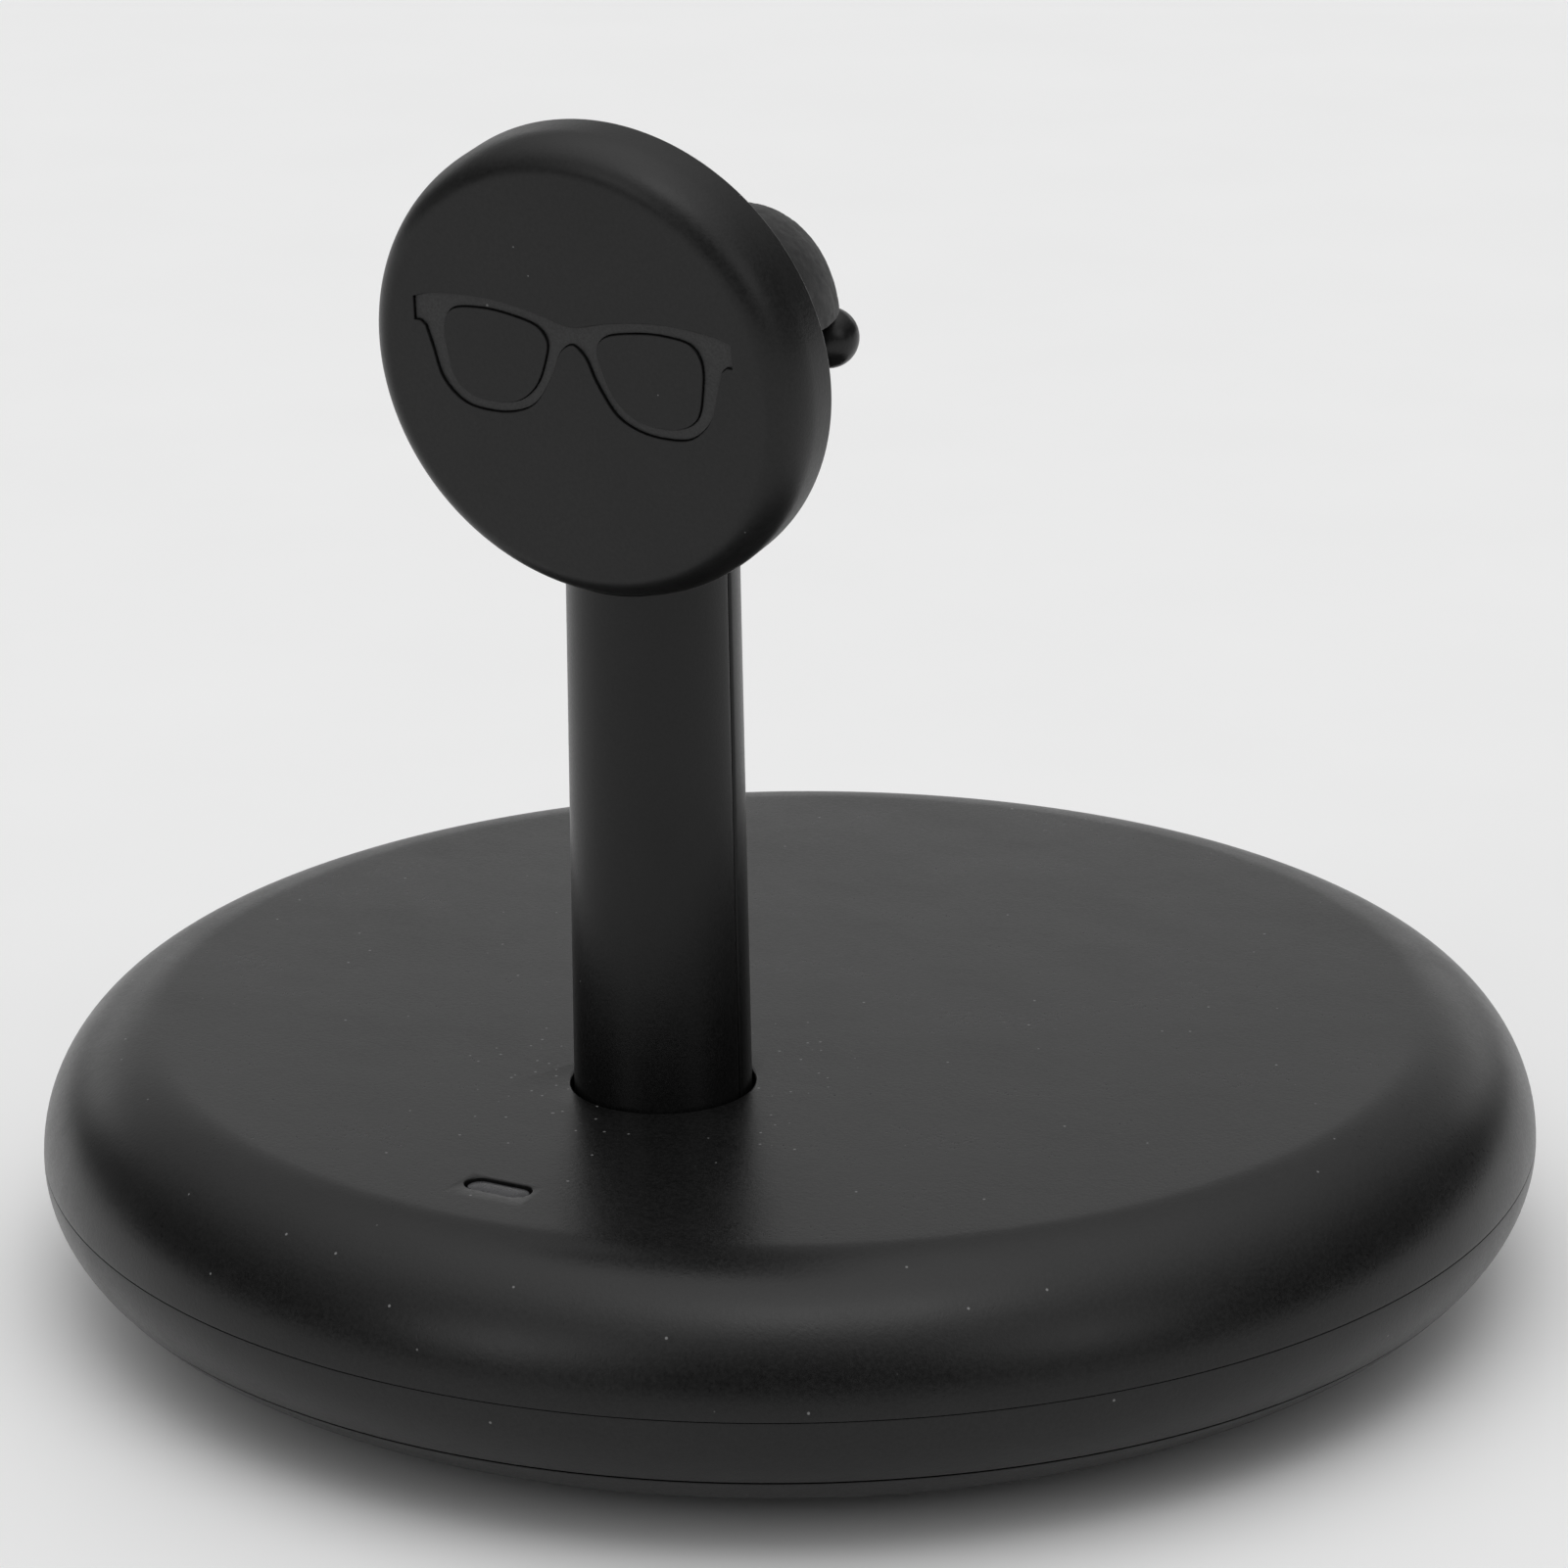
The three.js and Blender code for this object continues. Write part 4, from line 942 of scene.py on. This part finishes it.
piece("emblem_fine", emblem(), "stand", emblem_black, ["glasses_emblem"],
      angle=20, place=HEAD_FRAME)

# ---- Nose rest ----


def ellipsoid(radii, centre, rings=48, sides=64):
    turns = [math.pi * k / rings for k in range(rings + 1)]
    made = lathe([(math.sin(t), -math.cos(t)) for t in turns], sides)
    return moved(made, Matrix.Translation(centre) @ Matrix.Diagonal((*radii, 1)))


def remeshed(body, voxel, relax):
    """The body with blended joins: voxels, then a few rounds of smoothing."""
    holder = bpy.data.objects.new("holder", body)
    bpy.context.scene.collection.objects.link(holder)
    change = holder.modifiers.new("voxels", "REMESH")
    change.mode = "VOXEL"
    change.voxel_size = voxel
    ease = holder.modifiers.new("relax", "SMOOTH")
    ease.iterations = relax
    ease.factor = 0.5
    graph = bpy.context.evaluated_depsgraph_get()
    made = bpy.data.meshes.new_from_object(holder.evaluated_get(graph))
    bpy.data.objects.remove(holder)
    return made


def nose_pad():
    """The lobe and the hood over the column as one skin, creased towards the lobe's end."""
    dome = ellipsoid(PAD_RADII, PAD_CENTRE)
    hood = ellipsoid((HOOD_R, HOOD_R, HOOD_RISE), (0, COLUMN_Y, HOOD_Z))
    skirt = rod(HOOD_R, PAD_FLOOR_Z - 1, HOOD_Z, 0, COLUMN_Y, 64)
    blended = remeshed(join(dome, hood, skirt), PAD_VOXEL, PAD_RELAX)
    work = bmesh.new()
    work.from_mesh(blended)
    work.normal_update()
    for vertex in work.verts:
        x, y, z = vertex.co
        stretched = Vector((x * 1.1, y * 0.75 + z * 0.35, z * 0.9 - y * 0.2))
        ridge = 1 - abs(noise.noise(stretched * 1.9)) * 3
        share = 1 / (1 + math.exp(-(y - CREASE_EDGE_Y) * 1.2))
        vertex.co += vertex.normal * (ridge * CREASE_DEPTH * share - PAD_SHRINK)
    work.to_mesh(blended)
    work.free()
    below = box((-9, -30, 40), (9, 20, PAD_FLOOR_Z))
    post = rod(column_radius(COLUMN_TOP_Z) + 0.35, 50, COLUMN_TOP_Z + 0.3, 0, COLUMN_Y, 96)
    window = moved(eased(box((-2.8, -1.6, -7.5), (2.8, 1.6, 1.5)), 0.3), CONTACT_FRAME)
    land = moved(eased(box((-4.5, -2.3, -LAND_DROP), (4.5, 2.3, 6)), 0.4), CONTACT_FRAME)
    return cut(blended, below, post, head_envelope(PAD_HEAD_GAP), window, land)


def nose_arm():
    rear = TIP_CENTRE.y - TIP_R - 0.25
    front = COLUMN_Y + SPINE_R + 0.3
    low = ARM_TOP_Z - ARM_H
    root = ARM_TOP_Z - ARM_ROOT_H
    start, control, end = (front + 3, root), (front + 5.5, low), (rear - 1, low)
    curve = []
    for k in range(11):
        t = k / 10
        curve.append(tuple(
            start[i] * (1 - t) ** 2 + control[i] * 2 * t * (1 - t) + end[i] * t * t for i in range(2)
        ))
    outline = [(front, ARM_TOP_Z), (front, root), *curve, (rear, low + 1), (rear, ARM_TOP_Z)]
    bar = eased(loft([[(x, y, z) for y, z in outline] for x in (-ARM_W / 2, ARM_W / 2)]), 0.45, 4)
    groove = box((-1.5, front - 1, 62.7), (1.5, -3.6, ARM_TOP_Z + 1))
    peg = rod(0.8, 0, TIP_CENTRE.y - rear + 1, 0, 0, 32)
    moved(peg, Matrix.Translation((0, rear - 1, TIP_CENTRE.z)) @ Matrix.Rotation(-math.pi / 2, 4, "X"))
    return cut(join(bar, peg), groove)


def nose_tip():
    """A bar with hemispherical ends, a faint mould line round it and a hole for the arm's peg."""
    profile = [(TIP_R * math.sin(a), -TIP_HALF - TIP_R * math.cos(a))
               for a in [math.radians(90 * k / 20) for k in range(21)]]
    profile += [(TIP_R, -1.5), (TIP_R, -0.12), (TIP_R - 0.04, 0), (TIP_R, 0.12), (TIP_R, 1.5)]
    profile += [(TIP_R * math.cos(a), TIP_HALF + TIP_R * math.sin(a))
                for a in [math.radians(90 * k / 20) for k in range(21)]]
    bar = lathe(profile, 72)
    moved(bar, Matrix.Translation(TIP_CENTRE) @ Matrix.Rotation(math.pi / 2, 4, "Y"))
    hole = rod(1, 0, 4.3, 0, 0, 32)
    moved(hole, Matrix.Translation(TIP_CENTRE - Vector((0, 4, 0))) @ Matrix.Rotation(-math.pi / 2, 4, "X"))
    return cut(bar, hole)


pad = piece("nose_pad_fine", nose_pad(), "stand", pad_black, ["nose_pad"], angle=50)
piece("nose_arm_fine", nose_arm(), "stand", post_black, ["nose_arm"])
piece("nose_tip_fine", nose_tip(), "stand", shell_black, ["nose_tip"])


def contact_housing():
    half_w, half_t = HOUSING_W / 2, HOUSING_T / 2
    body = eased(box((-half_w, -half_t, FACE_Z - HOUSING_L), (half_w, half_t, FACE_Z)), 0.18)
    tools = []
    for s in SIDES:
        x = s * CONTACT_X
        tools.append(rod(0.9, FACE_Z - HOUSING_L + 0.4, FACE_Z - 0.5, x, 0, 40))
        tools.append(rod(PIN_R + 0.08, FACE_Z - 1, FACE_Z + 1, x, 0, 40))
        tools.append(rod(0.3, FACE_Z - HOUSING_L - 1, FACE_Z - 2, x, 0, 20))
    return cut(body, *tools)


def contact_pin():
    profile = [(0, PIN_OUT), (0.1, PIN_OUT)]
    profile += arc(PIN_R - 0.3, PIN_OUT - 0.3, 0.3, 0.3, 90, 0, 8)
    profile += [(PIN_R, -0.3), (PIN_R, -0.58), (0.82, -0.58, 0.06), (0.82, -1.3, 0.06), (0, -1.3)]
    return lathe(softened(profile), 48)


piece("contact_housing_fine", contact_housing(), "stand", bracket_black,
      ["contact_housing"], place=CONTACT_FRAME)
for index, (s, body) in enumerate(((-1, "left_contact"), (1, "right_contact"))):
    spot = CONTACT_FRAME @ Matrix.Translation((s * CONTACT_X, 0, FACE_Z))
    piece(f"contact_pin_fine_{index + 1}", contact_pin(), body, gold,
          [f"contact_pin_{index + 1}"], place=spot)

# ---- Screws ----


def screw(head_r, head_h, shank_r, shank_l):
    """A pan-head screw with a cross recess and a threaded shank; its seat is at z = 0."""
    profile = [(0, head_h), (head_r * 0.45, head_h)]
    profile += arc(head_r * 0.45, head_h * 0.35, head_r * 0.55, head_h * 0.65, 90, 0, 10)[1:]
    profile += [(head_r, 0, 0.08), (shank_r, 0)]
    pitch = max(0.45, shank_r * 0.42)
    z = -pitch
    while z > -shank_l + pitch:
        profile += [(shank_r * 0.84, z + pitch * 0.3), (shank_r, z)]
        z -= pitch
    profile += [(shank_r * 0.8, -shank_l + 0.3), (shank_r * 0.35, -shank_l), (0, -shank_l)]
    body = lathe(softened(profile), 48)
    reach, half = head_r * 0.56, head_r * 0.1
    floor_z = head_h * 0.4
    wings = []
    for turn in (0, math.pi / 2):
        low = [(-reach * 0.55, -half * 0.8), (reach * 0.55, -half * 0.8), (reach * 0.55, half * 0.8),
               (-reach * 0.55, half * 0.8)]
        high = [(-reach, -half), (reach, -half), (reach, half), (-reach, half)]
        wing = loft([[(x, y, floor_z) for x, y in low], [(x, y, head_h + 0.02) for x, y in high],
                     [(x, y, head_h + 1) for x, y in high]])
        wings.append(moved(wing, Matrix.Rotation(turn, 4, "Z")))
    return cut(body, *wings)


def put_screws(prefix, size, spots):
    for number, spot in enumerate(spots, 1):
        piece(f"{prefix}_fine_{number}", screw(*size), "stand", steel_grey, [f"{prefix}_{number}"],
              place=spot)


at = Matrix.Translation
over = Matrix.Rotation(math.pi, 4, "X")
put_screws("base_screw", (2.6, 1.8, 1.3, 10),
           [at((x * SCREW_X, y * SCREW_X, SCREW_SEAT_Z)) @ over @ Matrix.Rotation(0.4 + 0.7 * k, 4, "Z")
            for k, (x, y) in enumerate(CORNERS)])
put_screws("socket_screw", (1.8, 1.3, 1.2, 3.8),
           [at((s * SOCKET_SCREW_X, COLUMN_Y, SOCKET_SEAT_Z)) for s in SIDES])
put_screws("board_screw", (1.9, 1.2, 0.9, 3),
           [at((s * BOARD_SCREW_X, BOARD_SCREW_Y, BOARD_SEAT_Z)) for s in SIDES])
put_screws("collar_screw", (1.5, 0.7, 0.75, 3.2),
           [at((s * (COLLAR_FLAT_X + 0.05), COLLAR_SCREW_Y, COLLAR_SCREW_Z))
            @ Matrix.Rotation(s * math.pi / 2, 4, "Y") @ Matrix.Rotation(0.5, 4, "Z") for s in SIDES])
put_screws("head_screw", (1.7, 0.9, 0.8, 2.8),
           [HEAD_FRAME @ at((s * HEAD_SCREW_X, 0, -HEAD_DEPTH)) @ over
            @ Matrix.Rotation(0.3 + s * 0.2, 4, "Z") for s in SIDES])

# ---- CAD nodes that stay, with their own finishes ----

KEPT = {
    "ballast_plate": zinc_grey,
    "main_board": main_green,
    "lamp_board": lamp_green,
    "lamp_chip": lamp_pale,
    "column_socket": bracket_black,
    "column_spine": steel_grey,
    "wire_harness": cable_black,
}
for name, material in KEPT.items():
    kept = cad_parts[name]
    kept.data.materials.clear()
    kept.data.materials.append(material)

# ---- Stage, light and camera ----


def floor():
    shape = bpy.data.meshes.new("floor")
    half = 3.0
    level = -0.00002
    corners = [(-half, -half, level), (half, -half, level), (half, half, level), (-half, half, level)]
    shape.from_pydata(corners, [], [(0, 1, 2, 3)])
    made = bpy.data.objects.new("floor", shape)
    bpy.context.scene.collection.objects.link(made)
    n = Nodes("floor_white")
    grit = n.noise(40, 3)
    tone = n.mix(n.span(grit, 0.3, 0.7), (0.88, 0.88, 0.88), (0.89, 0.89, 0.89))
    n.link(tone, n.shader.inputs["Base Color"])
    n.link(n.span(grit, 0.3, 0.7, 0.75, 0.85), n.shader.inputs["Roughness"])
    n.set(IOR=1.2)
    shape.materials.append(n.material)


floor()


class Sky(Nodes):
    """The room's light: a dim room, a bright ceiling and softboxes, each placed by azimuth and elevation."""

    def __init__(self, name):
        world = bpy.data.worlds.new(name)
        bpy.context.scene.world = world
        world.use_nodes = True
        self.tree = world.node_tree
        self.shader = self.tree.nodes["Background"]
        self.shader.inputs["Color"].default_value = (1, 1, 1, 1)
        split = self.add("ShaderNodeSeparateXYZ")
        self.link(self.add("ShaderNodeTexCoord").outputs["Generated"], split.inputs["Vector"])
        x, y, z = split.outputs
        self.elevation = self.math("MULTIPLY", self.math("ARCSINE", z, 0), math.degrees(1))
        turned = self.math("ARCTAN2", x, self.math("MULTIPLY", y, -1))
        self.azimuth = self.math("MULTIPLY", turned, math.degrees(1))
        self.across = self.math("SQRT", self.math("SUBTRACT", 1, self.math("MULTIPLY", z, z)), 0)
        self.total = 0.0

    def glow(self, value, level):
        self.total = self.math("ADD", self.math("MULTIPLY", value, level), self.total)

    def ceiling(self, low, high, level):
        """Light that grows from one elevation to another, all round."""
        self.glow(self.span(self.elevation, low, high, smooth=True), level)

    def softbox(self, azimuth, elevation, width, height, edge, level):
        """A soft-edged rectangle of light; its angles and sizes are in degrees."""
        off = self.math("SUBTRACT", self.azimuth, azimuth)
        turn = self.add("ShaderNodeMath", operation="WRAP")
        turn.inputs[1].default_value = 180
        turn.inputs[2].default_value = -180
        self.link(off, turn.inputs[0])
        aside = self.math("MULTIPLY", self.math("ABSOLUTE", turn.outputs[0], 0), self.across)
        above = self.math("ABSOLUTE", self.math("SUBTRACT", self.elevation, elevation), 0)
        wide = self.span(aside, width / 2 + edge, width / 2 - edge, smooth=True)
        tall = self.span(above, height / 2 + edge, height / 2 - edge, smooth=True)
        self.glow(self.math("MULTIPLY", wide, tall), level)

    def finish(self, level):
        """Adds an even level and lights the room."""
        self.link(self.math("ADD", self.total, level), self.shader.inputs["Strength"])


CAMERA_SIDE = 29.04

sky = Sky("studio")
sky.ceiling(13, 88, 1.65)
sky.softbox(CAMERA_SIDE + 180, 12, 77, 10, 8, 1.48)
sky.softbox(CAMERA_SIDE + 9, 66, 30, 18, 8, 1.75)
sky.softbox(CAMERA_SIDE - 44, 25, 20, 20, 12, 2.6)
sky.softbox(CAMERA_SIDE + 44, 25, 20, 20, 12, 1.95)
sky.finish(0.06)

CAM_AZIMUTH = math.radians(CAMERA_SIDE)
CAM_ELEVATION = 0.405433
CAM_DISTANCE = 0.390871
CAM_PITCH = 0.080996
CAM_ROLL = 0.012603
CAM_YAW = 0.000283
CAM_LENS = 131.37


def camera():
    """The camera stands on a line to the base's centre, then looks a little up and rolls a little."""
    level = math.cos(CAM_ELEVATION)
    back = Vector((
        math.sin(CAM_AZIMUTH) * level, -math.cos(CAM_AZIMUTH) * level, math.sin(CAM_ELEVATION)
    ))
    right = Vector((math.cos(CAM_AZIMUTH), math.sin(CAM_AZIMUTH), 0))
    forward = Matrix.Rotation(CAM_PITCH, 3, right) @ -back
    right = Matrix.Rotation(CAM_YAW, 3, "Z") @ right
    forward = Matrix.Rotation(CAM_YAW, 3, "Z") @ forward
    right = Matrix.Rotation(CAM_ROLL, 3, forward) @ right
    up = right.cross(forward)
    turn = Matrix((right, up, -forward)).transposed()
    data = bpy.data.cameras.new("camera")
    data.sensor_width = 36
    data.lens = CAM_LENS
    data.clip_start = 0.02
    data.clip_end = 30
    made = bpy.data.objects.new("camera", data)
    made.matrix_world = Matrix.Translation(back * CAM_DISTANCE) @ turn.to_4x4()
    bpy.context.scene.collection.objects.link(made)
    bpy.context.scene.camera = made


camera()
bpy.context.scene.view_settings.view_transform = "Standard"
